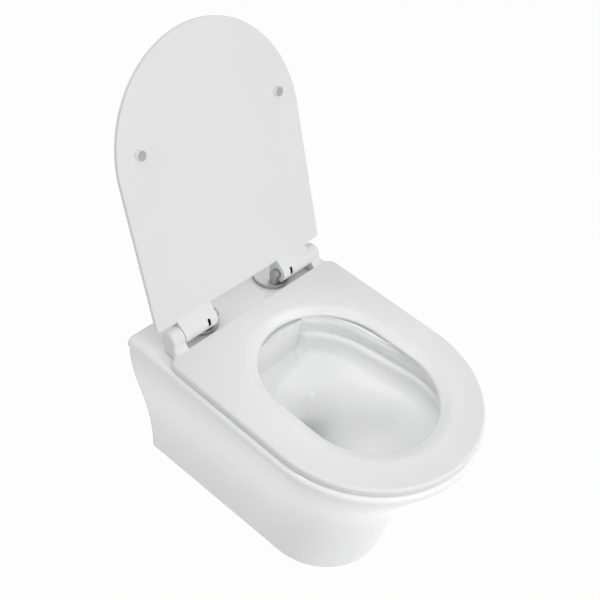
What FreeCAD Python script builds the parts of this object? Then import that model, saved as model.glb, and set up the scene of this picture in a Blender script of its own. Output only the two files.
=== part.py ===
import FreeCAD, Part
import math
import os
import Sketcher

# Wall hung toilet, in millimetres.
# +Z is up, the wall is the plane Y = 0 and the bowl stands out along -Y.  The origin is
# the point on the wall midway between the two fixing studs.  Most pieces are drawn with
# Z = 0 on the top of the ceramic rim, or about the hinge axis, and then placed.

doc = FreeCAD.newDocument("wall_hung_toilet")
sheet = doc.addObject("Spreadsheet::Sheet", "Sizes")

SIZES = [
    ("rim_above_studs", 80, "rim top above the fixing studs"),
    ("pan_length", 480, "wall to front of the rim"),
    ("pan_width", 360, "over the rim"),
    ("pan_height", 310, "rim top to underside"),
    ("shell_wall", 10, "fired ceramic wall"),
    ("deck_thickness", 16, "ceramic under the hinges and round the bowl"),
    ("rim_band", 15, "upright band at the rim's edge"),
    ("rim_edge_radius", 8, "rounding of the rim's outer top edge"),
    ("rim_foot_radius", 3, "rounding under the rim band"),
    ("underside_radius", 4, "rounding of the underside's edge"),
    ("skirt_depth_a", 57, "first outline of the skirt, below the rim"),
    ("skirt_half_a", 172, "its half width at the wall"),
    ("skirt_nose_a", 165, "its front radius"),
    ("skirt_length_a", 458, "its length from the wall"),
    ("skirt_depth_b", 122, "second outline"),
    ("skirt_half_b", 155, ""),
    ("skirt_nose_b", 143, ""),
    ("skirt_length_b", 425, ""),
    ("skirt_depth_c", 205, "third outline"),
    ("skirt_half_c", 132, ""),
    ("skirt_nose_c", 120, ""),
    ("skirt_length_c", 400, ""),
    ("skirt_half_d", 116, "outline of the underside"),
    ("skirt_nose_d", 108, ""),
    ("skirt_length_d", 388, ""),
    ("bowl_heel", 124, "wall to the back of the bowl's mouth"),
    ("bowl_tip", 440, "wall to the front of the bowl's mouth"),
    ("bowl_heel_radius", 104, "back radius of the mouth"),
    ("bowl_nose_radius", 118, "front radius of the mouth"),
    ("mouth_bevel", 2, "bevel on the mouth's edge"),
    ("channel_depth", 30, "middle of the flush channel below the rim"),
    ("channel_recess", 7, "how far the channel cuts back under the rim"),
    ("ledge_depth", 64, "foot of the channel's upright wall"),
    ("ledge_recess", 5, ""),
    ("shelf_depth", 84, "shelf that carries the flush water round"),
    ("shelf_step", 13, "how far the shelf stands in"),
    ("slope_depth", 122, "bowl outline half way down"),
    ("slope_heel", 186, ""),
    ("slope_tip", 400, ""),
    ("slope_heel_radius", 62, ""),
    ("slope_nose_radius", 84, ""),
    ("well_depth", 176, "top of the water well"),
    ("well_heel", 202, ""),
    ("well_tip", 338, ""),
    ("well_heel_radius", 40, ""),
    ("well_nose_radius", 52, ""),
    ("sump_depth", 250, "bottom of the water well"),
    ("sump_heel", 212, ""),
    ("sump_tip", 280, ""),
    ("sump_heel_radius", 26, ""),
    ("sump_nose_radius", 30, ""),
    ("trap_radius", 27, "half bore of the trap"),
    ("trap_wall", 8, "ceramic round the trap"),
    ("trap_dip_depth", 223, "trap's centre where it leaves the sump"),
    ("trap_dip_radius", 36, "bend up out of the sump"),
    ("trap_rise_from_wall", 150, "rising leg of the trap"),
    ("trap_crown_depth", 150, "centre of the bend over the weir"),
    ("trap_crown_radius", 34, "bend over the weir"),
    ("outlet_below_studs", 100, "waste outlet below the studs"),
    ("outlet_radius", 51, "outside of the waste spigot"),
    ("outlet_wall", 6, ""),
    ("outlet_depth", 118, "wall to the closed end of the spigot"),
    ("inlet_above_studs", 35, "flush inlet above the studs"),
    ("inlet_radius", 27.5, "ceramic socket of the inlet"),
    ("inlet_socket_depth", 30, ""),
    ("inlet_duct_radius", 20, "duct from the socket to the bowl"),
    ("inlet_wall", 8, ""),
    ("seal_bore_radius", 22.6, "seal round a 45 mm flush pipe"),
    ("seal_length", 26, ""),
    ("stud_spacing", 180, "between the two fixing studs"),
    ("stud_hole_radius", 6.3, "for an M12 stud"),
    ("sleeve_radius", 12.5, "stud sleeve's outside"),
    ("sleeve_length", 46, ""),
    ("sleeve_gap", 0.3, "round a sleeve in the ceramic"),
    ("boss_wall", 11, "ceramic round a stud sleeve"),
    ("boss_depth", 52, ""),
    ("web_thickness", 16, "ceramic across the top of the open back"),
    ("web_depth", 112, "how far the web hangs below the rim"),
    ("grub_radius", 3, ""),
    ("grub_head_radius", 4.5, ""),
    ("grub_head_length", 6, ""),
    ("grub_from_wall", 30, ""),
    ("splitter_half_width", 48, "flush splitter on the bowl's back wall"),
    ("splitter_top", 2, "its top edge below the rim"),
    ("splitter_bottom", 66, "its bottom edge below the rim"),
    ("splitter_stand", 13, "how far it stands out of the back wall"),
    ("splitter_skin", 2.5, ""),
    ("splitter_lip", 24, "its lips, cut to the bowl's wall"),
    ("splitter_neck", 22, "length of its neck in the duct"),
    ("neck_window_half", 15, "half height of the side windows in the neck"),
    ("hinge_spacing", 157, "between the two seat fixing holes"),
    ("hinge_hole_from_wall", 42, ""),
    ("hinge_hole_radius", 7, ""),
    ("axis_from_wall", 58, "hinge axis from the wall"),
    ("axis_height", 24, "hinge axis above the rim"),
    ("gasket_thickness", 1, ""),
    ("rosette_radius", 29.5, "steel cover on each hinge foot"),
    ("rosette_height", 6, ""),
    ("rosette_skin", 1.5, ""),
    ("rosette_bevel", 1.2, ""),
    ("foot_radius", 27, "hinge foot under its cover"),
    ("foot_thickness", 2.2, ""),
    ("post_inner", 63, "inboard face of the hinge post from the middle"),
    ("post_width", 8.5, ""),
    ("post_head_radius", 8, ""),
    ("post_neck_length", 11, "neck under the post's head, wall to front"),
    ("pin_radius", 4, "hinge pin"),
    ("pin_cover", 1.5, "post's face over the pin's inner end"),
    ("pin_end_gap", 1, "pin short of the ear's bore"),
    ("cover_gap", 0.3, "cover round the post's neck"),
    ("running_gap", 0.05, "pin in its bearings"),
    ("hinge_gap", 0.7, "between neighbouring hinge faces"),
    ("barrel_outer", 136, "outboard end of the lid's barrel from the middle"),
    ("barrel_radius", 16, ""),
    ("barrel_bore", 8, ""),
    ("bush_length", 24, "nylon bush at the barrel's inboard end"),
    ("damper_gap", 0.4, "round the seat's damper in the lid's barrel"),
    ("ear_width", 21, "seat's ear on the hinge axis"),
    ("ear_radius", 15, ""),
    ("ear_fairing", 11, "hollow curve from the seat's top up to the ear's knuckle"),
    ("ear_heel", 5, "ear's underside behind the axis"),
    ("ear_bore", 7, ""),
    ("ear_bore_depth", 15, ""),
    ("drive_flat", 5, "half width across the damper's drive flats"),
    ("seat_width", 352, ""),
    ("seat_tip", 476, "wall to the front of the seat"),
    ("seat_rear", 80.6, "wall to the seat's straight back edge"),
    ("seat_underside", 3.2, "above the rim"),
    ("seat_thickness", 10.8, ""),
    ("seat_edge_radius", 4.5, ""),
    ("seat_rear_radius", 1.2, "rounding of the straight back edge"),
    ("seat_dish_width", 15, "slope from the seat's top into the hole"),
    ("seat_dish_drop", 5.2, ""),
    ("seat_dish_radius", 22, "soft start of the slope"),
    ("seat_inner_radius", 3.6, "soft end of the slope at the hole"),
    ("seat_foot_radius", 1.2, "rounding of the lower edges"),
    ("seat_hole_half_width", 108.4, ""),
    ("seat_hole_rear", 130, ""),
    ("seat_hole_tip", 412, ""),
    ("seat_pad_back_x", 147, ""),
    ("seat_pad_back_y", 150, ""),
    ("seat_pad_front_x", 95, ""),
    ("seat_pad_front_y", 420, ""),
    ("ear_outer_line", 97, "where the seat starts to narrow, from the wall"),
    ("ear_sweep_radius", 17.5, "of the S-curve to the ear"),
    ("ear_overlap", 5, "ear's plate laid over the ring"),
    ("pad_radius", 7, "seat and lid pads"),
    ("pad_rest_gap", 0.2, "pads above what they rest on"),
    ("pad_peg_radius", 2.5, ""),
    ("pad_peg_length", 4, ""),
    ("lid_width", 343.4, ""),
    ("lid_tip", 415.5, "hinge axis to the front of the lid"),
    ("lid_rear", 20.5, "hinge axis to the lid's back edge"),
    ("lid_underside", 3.4, "lid's inner face below the hinge axis when closed"),
    ("lid_thickness", 7.3, ""),
    ("lid_edge_radius", 2.4, ""),
    ("lid_corner_radius", 8, "back corners in plan"),
    ("lid_angle", 112, "how far the lid stands open"),
    ("lid_pad_half_spacing", 132, ""),
    ("lid_pad_from_axis", 275, ""),
    ("slot_from_middle", 89, "service slot in each barrel"),
    ("slot_width", 5, ""),
    ("slot_length", 12, ""),
    ("slot_corner", 1.2, ""),
    ("barrel_blend_upper", 34, "where the barrel runs out of the lid's outer face"),
    ("barrel_blend_lower", 26, "where it runs out of the inner face"),
    ("barrel_sink", 0.4, "its tangents end inside the plate"),
    ("barrel_relief", 12, "flat under the open barrel's inboard end, from the axis"),
    ("relief_length", 38, ""),
    ("bolt_radius", 3, "seat fixing bolt"),
    ("bolt_length", 46, ""),
    ("bolt_head_radius", 6, ""),
    ("bolt_head_height", 1.8, ""),
    ("plug_radius", 6.7, "rubber plug that swells in the hole"),
    ("plug_length", 26, ""),
    ("plug_top_gap", 0.3, "plug below the gasket"),
    ("cone_length", 10, "brass nut under the plug"),
    ("cone_top_radius", 4.6, ""),
]
for row, (alias, value, note) in enumerate(SIZES, start=1):
    sheet.set(f"A{row}", alias)
    sheet.set(f"B{row}", str(value))
    sheet.set(f"C{row}", note)
    sheet.setAlias(f"B{row}", alias)
doc.recompute()


def val(expression):
    """Value of an expression on the sheet, written with the bare names of its cells."""
    return float(sheet.evalExpression(bound(expression)))


def bound(expression):
    """The same expression with each cell's name tied to the sheet."""
    words = []
    word = ""
    for letter in expression + " ":
        if letter.isalnum() or letter in "_.":
            word += letter
            continue
        words.append(f"Sizes.{word}" if word in ALIASES else word)
        words.append(letter)
        word = ""
    return "".join(words).strip()


ALIASES = {alias for alias, value, note in SIZES}


# ---- small builders ----------------------------------------------------------------------

def origin_plane(body, role):
    return next(item for item in body.Origin.OriginFeatures if item.Role == role)


def new_body(name):
    return doc.addObject("PartDesign::Body", name)


def new_sketch(body, name, role="XY_Plane", offset=None):
    sketch = body.newObject("Sketcher::SketchObject", name)
    sketch.AttachmentSupport = [(origin_plane(body, role), "")]
    sketch.MapMode = "FlatFace"
    if offset is not None:
        sketch.setExpression("AttachmentOffset.Base.z", bound(offset))
    return sketch


def dimension(sketch, name, expression, *constraint):
    """A driving dimension, set from the sheet."""
    index = sketch.addConstraint(Sketcher.Constraint(*constraint, abs(val(expression))))
    sketch.renameConstraint(index, name)
    sketch.setExpression(f"Constraints.{name}", bound(expression))


def circle_sketch(body, name, role, radius, x="0", y="0", offset=None):
    """One circle; x and y are the sketch's own directions, both 0 or more, or x below 0."""
    sketch = new_sketch(body, name, role, offset)
    centre = FreeCAD.Vector(val(x), val(y), 0)
    sketch.addGeometry(Part.Circle(centre, FreeCAD.Vector(0, 0, 1), val(radius)), False)
    dimension(sketch, "radius", radius, "Radius", 0)
    place_point(sketch, (0, 3), x, y)
    return sketch


def place_point(sketch, point, x, y):
    """Fix a sketch point at x, y from the origin."""
    for name, kind, expression, axis in (("at_x", "DistanceX", x, -2), ("at_y", "DistanceY", y, -1)):
        amount = val(expression)
        if expression == "0":
            sketch.addConstraint(Sketcher.Constraint("PointOnObject", *point, axis))
        elif amount > 0:
            dimension(sketch, name, expression, kind, -1, 1, *point)
        else:
            dimension(sketch, name, f"-({expression})", kind, *point, -1, 1)


def polygon_sketch(body, name, role, corners, offset=None):
    """A closed outline of straight lines through corners given as pairs of expressions."""
    sketch = new_sketch(body, name, role, offset)
    points = [FreeCAD.Vector(val(x), val(y), 0) for x, y in corners]
    count = len(points)
    for index in range(count):
        sketch.addGeometry(Part.LineSegment(points[index], points[(index + 1) % count]), False)
    for index in range(count):
        following = (index + 1) % count
        sketch.addConstraint(Sketcher.Constraint("Coincident", index, 2, following, 1))
    for index, (x, y) in enumerate(corners):
        for kind, expression, axis in (("DistanceX", x, -2), ("DistanceY", y, -1)):
            amount = val(expression)
            label = f"{kind[-1].lower()}_{index}"
            if expression == "0":
                sketch.addConstraint(Sketcher.Constraint("PointOnObject", index, 1, axis))
            elif amount > 0:
                dimension(sketch, label, expression, kind, -1, 1, index, 1)
            else:
                dimension(sketch, label, f"-({expression})", kind, index, 1, -1, 1)
    return sketch


def tongue_sketch(body, name, rear, half_width, nose, tip, offset=None):
    """A straight back edge, two sides and a round front, all on the -Y side."""
    sketch = new_sketch(body, name, "XY_Plane", offset)
    back, half, radius = -val(rear), val(half_width), val(nose)
    centre_y = radius - val(tip)
    corner = [FreeCAD.Vector(side * half, back, 0) for side in (-1, 1)]
    flank = [FreeCAD.Vector(side * radius, centre_y, 0) for side in (-1, 1)]
    circle = Part.Circle(FreeCAD.Vector(0, centre_y, 0), FreeCAD.Vector(0, 0, 1), radius)
    sketch.addGeometry(Part.LineSegment(corner[0], corner[1]), False)
    sketch.addGeometry(Part.LineSegment(corner[1], flank[1]), False)
    sketch.addGeometry(Part.ArcOfCircle(circle, math.pi, 2 * math.pi), False)
    sketch.addGeometry(Part.LineSegment(flank[0], corner[0]), False)
    sketch.addConstraint(Sketcher.Constraint("Coincident", 0, 2, 1, 1))
    sketch.addConstraint(Sketcher.Constraint("Coincident", 3, 2, 0, 1))
    sketch.addConstraint(Sketcher.Constraint("Tangent", 1, 2, 2, 2))
    sketch.addConstraint(Sketcher.Constraint("Tangent", 2, 1, 3, 1))
    sketch.addConstraint(Sketcher.Constraint("Symmetric", 0, 1, 0, 2, -2))
    sketch.addConstraint(Sketcher.Constraint("PointOnObject", 2, 3, -2))
    if rear == "0":
        sketch.addConstraint(Sketcher.Constraint("PointOnObject", 0, 1, -1))
    else:
        dimension(sketch, "rear", rear, "DistanceY", 0, 1, -1, 1)
    dimension(sketch, "width", f"2 * ({half_width})", "DistanceX", 0, 1, 0, 2)
    dimension(sketch, "nose", nose, "Radius", 2)
    dimension(sketch, "nose_centre", f"({tip}) - ({nose})", "DistanceY", 2, 3, -1, 1)
    return sketch


def egg_sketch(body, name, heel, heel_radius, nose_radius, tip, offset=None):
    """A round back and a round front joined by two tangent sides, on the -Y side."""
    sketch = new_sketch(body, name, "XY_Plane", offset)
    back_radius, front_radius = val(heel_radius), val(nose_radius)
    back_y = -val(heel) - back_radius
    front_y = front_radius - val(tip)
    up = FreeCAD.Vector(0, 0, 1)
    back_circle = Part.Circle(FreeCAD.Vector(0, back_y, 0), up, back_radius)
    front_circle = Part.Circle(FreeCAD.Vector(0, front_y, 0), up, front_radius)
    back = [FreeCAD.Vector(side * back_radius, back_y, 0) for side in (-1, 1)]
    front = [FreeCAD.Vector(side * front_radius, front_y, 0) for side in (-1, 1)]
    sketch.addGeometry(Part.ArcOfCircle(back_circle, 0, math.pi), False)
    sketch.addGeometry(Part.LineSegment(back[0], front[0]), False)
    sketch.addGeometry(Part.ArcOfCircle(front_circle, math.pi, 2 * math.pi), False)
    sketch.addGeometry(Part.LineSegment(front[1], back[1]), False)
    sketch.addConstraint(Sketcher.Constraint("Tangent", 0, 2, 1, 1))
    sketch.addConstraint(Sketcher.Constraint("Tangent", 1, 2, 2, 1))
    sketch.addConstraint(Sketcher.Constraint("Tangent", 2, 2, 3, 1))
    sketch.addConstraint(Sketcher.Constraint("Tangent", 3, 2, 0, 1))
    sketch.addConstraint(Sketcher.Constraint("PointOnObject", 0, 3, -2))
    sketch.addConstraint(Sketcher.Constraint("PointOnObject", 2, 3, -2))
    dimension(sketch, "heel_radius", heel_radius, "Radius", 0)
    dimension(sketch, "nose_radius", nose_radius, "Radius", 2)
    dimension(sketch, "heel_centre", f"({heel}) + ({heel_radius})", "DistanceY", 0, 3, -1, 1)
    dimension(sketch, "nose_centre", f"({tip}) - ({nose_radius})", "DistanceY", 2, 3, -1, 1)
    return sketch


def pad(body, name, sketch, length, reverse=False, midplane=False):
    feature = body.newObject("PartDesign::Pad", name)
    feature.Profile = sketch
    feature.setExpression("Length", bound(length))
    feature.Reversed = reverse
    feature.Midplane = midplane
    sketch.Visibility = False
    return feature


def pocket(body, name, sketch, length=None, reverse=False, midplane=False):
    """A cut to a length, or through all when no length is given."""
    feature = body.newObject("PartDesign::Pocket", name)
    feature.Profile = sketch
    if length is None:
        feature.Type = "ThroughAll"
    else:
        feature.setExpression("Length", bound(length))
    feature.Reversed = reverse
    feature.Midplane = midplane
    return feature


def loft(body, name, sketches, kind="Additive"):
    feature = body.newObject(f"PartDesign::{kind}Loft", name)
    feature.Profile = sketches[0]
    feature.Sections = sketches[1:]
    return feature


def round_edges(body, name, base, radius, wanted):
    """Fillet the edges of base that the test picks."""
    doc.recompute()
    edges = [f"Edge{number}" for number, edge in enumerate(base.Shape.Edges, start=1) if wanted(edge)]
    feature = body.newObject("PartDesign::Fillet", name)
    feature.Base = (base, edges)
    feature.setExpression("Radius", bound(radius))
    return feature


def lies_at(edge, height):
    """True for an edge that lies in the level plane at this height."""
    box = edge.BoundBox
    return max(abs(box.ZMin - height), abs(box.ZMax - height)) < FIND_TOLERANCE


FIND_TOLERANCE = 0.01
THROUGH = 1


def boolean(kind, label, *inputs):
    feature = doc.addObject(kind, label)
    if kind in ("Part::MultiFuse", "Part::MultiCommon"):
        feature.Shapes = list(inputs)
    else:
        feature.Base, feature.Tool = inputs
    return feature


def place(feature, x=None, y=None, z=None):
    for axis, expression in (("x", x), ("y", y), ("z", z)):
        if expression is not None:
            feature.setExpression(f"Placement.Base.{axis}", bound(expression))
    return feature


FINISHED = []


def finish(feature, label):
    feature.Label = label
    FINISHED.append(feature)
    return feature


def mirrored(feature, label):
    copy = doc.addObject("Part::Mirroring", f"{label}_mirror")
    copy.Source = feature
    copy.Normal = FreeCAD.Vector(1, 0, 0)
    return finish(copy, label)


RIM = "rim_above_studs"

# ---- ceramic pan -------------------------------------------------------------------------
# One casting: rim band over a skirt that draws in on an S-curve to a narrow foot.
# Behind the skirt it is hollow and open to the wall, with the bowl, trap, waste spigot,
# flush duct and stud bosses standing inside.

skin = new_body("PanSkin")
band = tongue_sketch(skin, "BandOutline", "0", "pan_width / 2", "pan_width / 2", "pan_length")
pad(skin, "Band", band, "rim_band", reverse=True)
SKIRT = [
    ("rim_band", "pan_width / 2 - rim_foot_radius", "pan_width / 2 - rim_foot_radius",
     "pan_length - rim_foot_radius"),
    ("skirt_depth_a", "skirt_half_a", "skirt_nose_a", "skirt_length_a"),
    ("skirt_depth_b", "skirt_half_b", "skirt_nose_b", "skirt_length_b"),
    ("skirt_depth_c", "skirt_half_c", "skirt_nose_c", "skirt_length_c"),
    ("pan_height", "skirt_half_d", "skirt_nose_d", "skirt_length_d"),
]
skirt_outlines = [
    tongue_sketch(skin, f"SkirtOutline{number}", "0", half, nose, tip, f"-({depth})")
    for number, (depth, half, nose, tip) in enumerate(SKIRT)
]
skirt = loft(skin, "Skirt", skirt_outlines)
top_round = round_edges(skin, "RimRound", skirt, "rim_edge_radius",
                        lambda edge: lies_at(edge, 0) and edge.BoundBox.YMin < -1)
foot_round = round_edges(skin, "FootRound", top_round, "underside_radius",
                         lambda edge: lies_at(edge, -val("pan_height")) and edge.BoundBox.YMin < -1)

hollow = new_body("PanHollow")
HOLLOW = [
    ("deck_thickness", "pan_width / 2 - shell_wall", "pan_width / 2 - shell_wall",
     "pan_length - shell_wall"),
    ("skirt_depth_a", "skirt_half_a - shell_wall", "skirt_nose_a - shell_wall", "skirt_length_a - shell_wall"),
    ("skirt_depth_b", "skirt_half_b - shell_wall", "skirt_nose_b - shell_wall", "skirt_length_b - shell_wall"),
    ("skirt_depth_c", "skirt_half_c - shell_wall", "skirt_nose_c - shell_wall", "skirt_length_c - shell_wall"),
    ("pan_height - shell_wall", "skirt_half_d - shell_wall", "skirt_nose_d - shell_wall",
     "skirt_length_d - shell_wall"),
]
hollow_outlines = [
    tongue_sketch(hollow, f"HollowOutline{number}", "0", half, nose, tip, f"-({depth})")
    for number, (depth, half, nose, tip) in enumerate(HOLLOW)
]
loft(hollow, "HollowLoft", hollow_outlines)

BOWL = [
    ("0", "bowl_heel", "bowl_heel_radius", "bowl_nose_radius", "bowl_tip"),
    ("channel_depth", "bowl_heel - channel_recess", "bowl_heel_radius + channel_recess",
     "bowl_nose_radius + channel_recess", "bowl_tip + channel_recess"),
    ("ledge_depth", "bowl_heel - ledge_recess", "bowl_heel_radius + ledge_recess",
     "bowl_nose_radius + ledge_recess", "bowl_tip + ledge_recess"),
    ("shelf_depth", "bowl_heel + shelf_step", "bowl_heel_radius - shelf_step",
     "bowl_nose_radius - shelf_step", "bowl_tip - shelf_step"),
    ("slope_depth", "slope_heel", "slope_heel_radius", "slope_nose_radius", "slope_tip"),
    ("well_depth", "well_heel", "well_heel_radius", "well_nose_radius", "well_tip"),
    ("sump_depth", "sump_heel", "sump_heel_radius", "sump_nose_radius", "sump_tip"),
]


def bowl_form(name, grow, first):
    """The bowl's loft, grown outwards by a wall; first is its top section's depth."""
    body = new_body(name)
    outlines = []
    for number, (depth, heel, heel_radius, nose_radius, tip) in enumerate(BOWL):
        level = first if number == 0 else depth
        if number == len(BOWL) - 1:
            level = f"{depth} + ({grow})"
        outlines.append(egg_sketch(body, f"{name}Outline{number}", f"{heel} - ({grow})",
                                   f"{heel_radius} + ({grow})", f"{nose_radius} + ({grow})",
                                   f"{tip} + ({grow})", f"-({level})"))
    loft(body, f"{name}Loft", outlines)
    return body


bowl_inside = bowl_form("BowlInside", "0", "0")
bowl_outside = bowl_form("BowlOutside", "shell_wall", "0")

mouth = new_body("MouthBevel")
mouth_outlines = [
    egg_sketch(mouth, f"MouthOutline{number}", f"bowl_heel - ({grow})", f"bowl_heel_radius + {grow}",
               f"bowl_nose_radius + {grow}", f"bowl_tip + {grow}", level)
    for number, (grow, level) in enumerate(((f"mouth_bevel + {THROUGH}", f"{THROUGH}"),
                                            (f"-({THROUGH})", f"-(mouth_bevel + {THROUGH})")))
]
loft(mouth, "MouthLoft", mouth_outlines)


def trap_form(name, radius):
    """The trap: out of the sump, up the rising leg, over the weir and down to the spigot."""
    body = new_body(name)
    path = new_sketch(body, f"{name}Path", "YZ_Plane")
    rise = -val("trap_rise_from_wall")
    dip_z, dip_r = -val("trap_dip_depth"), val("trap_dip_radius")
    crown_z, crown_r = -val("trap_crown_depth"), val("trap_crown_radius")
    start_y = -val("sump_heel + sump_heel_radius")
    fall = rise + 2 * crown_r
    outlet_z = val("rim_above_studs") + val("outlet_below_studs")
    up = FreeCAD.Vector(0, 0, 1)
    dip = Part.Circle(FreeCAD.Vector(rise - dip_r, dip_z + dip_r, 0), up, dip_r)
    crown = Part.Circle(FreeCAD.Vector(rise + crown_r, crown_z, 0), up, crown_r)
    points = [FreeCAD.Vector(start_y, dip_z, 0), FreeCAD.Vector(rise - dip_r, dip_z, 0),
              FreeCAD.Vector(rise, dip_z + dip_r, 0), FreeCAD.Vector(rise, crown_z, 0),
              FreeCAD.Vector(fall, crown_z, 0), FreeCAD.Vector(fall, -outlet_z, 0)]
    path.addGeometry(Part.LineSegment(points[0], points[1]), False)
    path.addGeometry(Part.ArcOfCircle(dip, -math.pi / 2, 0), False)
    path.addGeometry(Part.LineSegment(points[2], points[3]), False)
    path.addGeometry(Part.ArcOfCircle(crown, 0, math.pi), False)
    path.addGeometry(Part.LineSegment(points[4], points[5]), False)
    path.addConstraint(Sketcher.Constraint("Horizontal", 0))
    path.addConstraint(Sketcher.Constraint("Tangent", 0, 2, 1, 1))
    path.addConstraint(Sketcher.Constraint("Tangent", 1, 2, 2, 1))
    path.addConstraint(Sketcher.Constraint("Vertical", 2))
    path.addConstraint(Sketcher.Constraint("Tangent", 2, 2, 3, 2))
    path.addConstraint(Sketcher.Constraint("Tangent", 3, 1, 4, 1))
    path.addConstraint(Sketcher.Constraint("Vertical", 4))
    dimension(path, "start", "sump_heel + sump_heel_radius", "DistanceX", 0, 1, -1, 1)
    dimension(path, "dip", "trap_dip_depth", "DistanceY", 0, 1, -1, 1)
    dimension(path, "dip_bend", "trap_dip_radius", "Radius", 1)
    dimension(path, "rise", "trap_rise_from_wall", "DistanceX", 2, 1, -1, 1)
    dimension(path, "crown", "trap_crown_depth", "DistanceY", 3, 3, -1, 1)
    dimension(path, "crown_bend", "trap_crown_radius", "Radius", 3)
    dimension(path, "fall", "rim_above_studs + outlet_below_studs", "DistanceY", 4, 2, -1, 1)
    section = circle_sketch(body, f"{name}Section", "XZ_Plane", radius, "0",
                            "-(trap_dip_depth)", "sump_heel + sump_heel_radius")
    pipe = body.newObject("PartDesign::AdditivePipe", f"{name}Pipe")
    pipe.Profile = section
    pipe.Spine = path
    return body


trap_inside = trap_form("TrapInside", "trap_radius")
trap_outside = trap_form("TrapOutside", "trap_radius + trap_wall")


def wall_cylinder(name, radius, x, z, start, length):
    """A round bar square to the wall, from start to start + length out from it."""
    body = new_body(name)
    circle = circle_sketch(body, f"{name}Circle", "XZ_Plane", radius, x, z, start)
    pad(body, f"{name}Pad", circle, length)
    return body


OUTLET_Z = "-(rim_above_studs + outlet_below_studs)"
INLET_Z = "-(rim_above_studs - inlet_above_studs)"
STUD_Z = "-(rim_above_studs)"
outlet_outside = wall_cylinder("OutletOutside", "outlet_radius", "0", OUTLET_Z, "0", "outlet_depth")
outlet_inside = wall_cylinder("OutletInside", "outlet_radius - outlet_wall", "0", OUTLET_Z,
                              f"-({THROUGH})", f"outlet_depth - outlet_wall + {THROUGH}")
inlet_outside = wall_cylinder("InletOutside", "inlet_radius + inlet_wall", "0", INLET_Z, "0", "bowl_heel")
inlet_socket = wall_cylinder("InletSocket", "inlet_radius", "0", INLET_Z,
                             f"-({THROUGH})", f"inlet_socket_depth + {THROUGH}")
inlet_duct = wall_cylinder("InletDuct", "inlet_duct_radius", "0", INLET_Z, "0", "bowl_heel + channel_recess")

bosses = []
boss_holes = []
for side, sign in (("Right", ""), ("Left", "-")):
    stud_x = f"{sign}(stud_spacing / 2)"
    bosses.append(wall_cylinder(f"Boss{side}", "sleeve_radius + sleeve_gap + boss_wall", stud_x, STUD_Z,
                                "0", "boss_depth"))
    boss_holes.append(wall_cylinder(f"BossHole{side}", "sleeve_radius + sleeve_gap", stud_x, STUD_Z,
                                    f"-({THROUGH})", f"boss_depth + 2 * {THROUGH}"))

web = new_body("PanWeb")
web_half = "pan_width / 2"
web_sketch = polygon_sketch(web, "WebOutline", "XZ_Plane",
                            [(f"-({web_half})", f"-({THROUGH})"), (web_half, f"-({THROUGH})"),
                             (web_half, "-(web_depth)"), (f"-({web_half})", "-(web_depth)")])
pad(web, "WebPad", web_sketch, "web_thickness")

deck_holes = new_body("DeckHoles")
for side, sign in (("Right", ""), ("Left", "-")):
    hole = circle_sketch(deck_holes, f"DeckHole{side}", "XY_Plane", "hinge_hole_radius",
                         f"{sign}(hinge_spacing / 2)", "-(hinge_hole_from_wall)", f"{THROUGH}")
    pad(deck_holes, f"DeckHolePad{side}", hole, f"deck_thickness + 2 * {THROUGH}", reverse=True)
    grub = circle_sketch(deck_holes, f"GrubHole{side}", "XY_Plane", "grub_radius + sleeve_gap",
                         f"{sign}(stud_spacing / 2)", "-(grub_from_wall)", STUD_Z)
    pad(deck_holes, f"GrubHolePad{side}", grub,
        f"sleeve_radius + sleeve_gap + boss_wall + {THROUGH}", reverse=True)

pan_shell = boolean("Part::Cut", "PanShell", skin, hollow)
pan_inside = boolean("Part::MultiFuse", "PanInside", bowl_outside, trap_outside, outlet_outside,
                     inlet_outside, web, *bosses)
pan_inside_kept = boolean("Part::MultiCommon", "PanInsideKept", pan_inside, skin)
casting = boolean("Part::MultiFuse", "PanCasting", pan_shell, pan_inside_kept)
ways = boolean("Part::MultiFuse", "PanWays", bowl_inside, mouth, trap_inside, outlet_inside, inlet_socket,
               inlet_duct, deck_holes, *boss_holes)
pan = boolean("Part::Cut", "Pan", casting, ways)
place(pan, z=RIM)
finish(pan, "pan")

# ---- stud sleeves and their grub screws ----------------------------------------------------
# A zinc sleeve slides over each wall stud inside its ceramic boss; a grub screw from below
# holds the pan on it.

sleeve = new_body("StudSleeve")
sleeve_ring = circle_sketch(sleeve, "SleeveCircle", "XZ_Plane", "sleeve_radius", "stud_spacing / 2", "0")
pad(sleeve, "SleevePad", sleeve_ring, "sleeve_length")
stud_hole = circle_sketch(sleeve, "StudHoleCircle", "XZ_Plane", "stud_hole_radius", "stud_spacing / 2", "0")
pocket(sleeve, "StudHole", stud_hole, reverse=True)
grub_seat = circle_sketch(sleeve, "GrubSeatCircle", "XY_Plane", "grub_radius", "stud_spacing / 2",
                          "-(grub_from_wall)")
pocket(sleeve, "GrubSeat", grub_seat, "sleeve_radius")
finish(sleeve, "stud_sleeve_right")
mirrored(sleeve, "stud_sleeve_left")

grub_screw = new_body("GrubScrew")
GRUB_TOP = "-(stud_hole_radius)"
GRUB_HEAD = "-(sleeve_radius + sleeve_gap + boss_wall + sleeve_gap)"
grub_shank = circle_sketch(grub_screw, "GrubShankCircle", "XY_Plane", "grub_radius",
                           "stud_spacing / 2", "-(grub_from_wall)", GRUB_HEAD)
pad(grub_screw, "GrubShank", grub_shank,
    "sleeve_radius + 2 * sleeve_gap + boss_wall - stud_hole_radius - sleeve_gap")
grub_head = circle_sketch(grub_screw, "GrubHeadCircle", "XY_Plane", "grub_head_radius",
                          "stud_spacing / 2", "-(grub_from_wall)", GRUB_HEAD)
pad(grub_screw, "GrubHead", grub_head, "grub_head_length", reverse=True)
finish(grub_screw, "grub_screw_right")
mirrored(grub_screw, "grub_screw_left")

# ---- flush inlet seal ----------------------------------------------------------------------
# A rubber ring in the ceramic socket, bored for the flush pipe.

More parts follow.
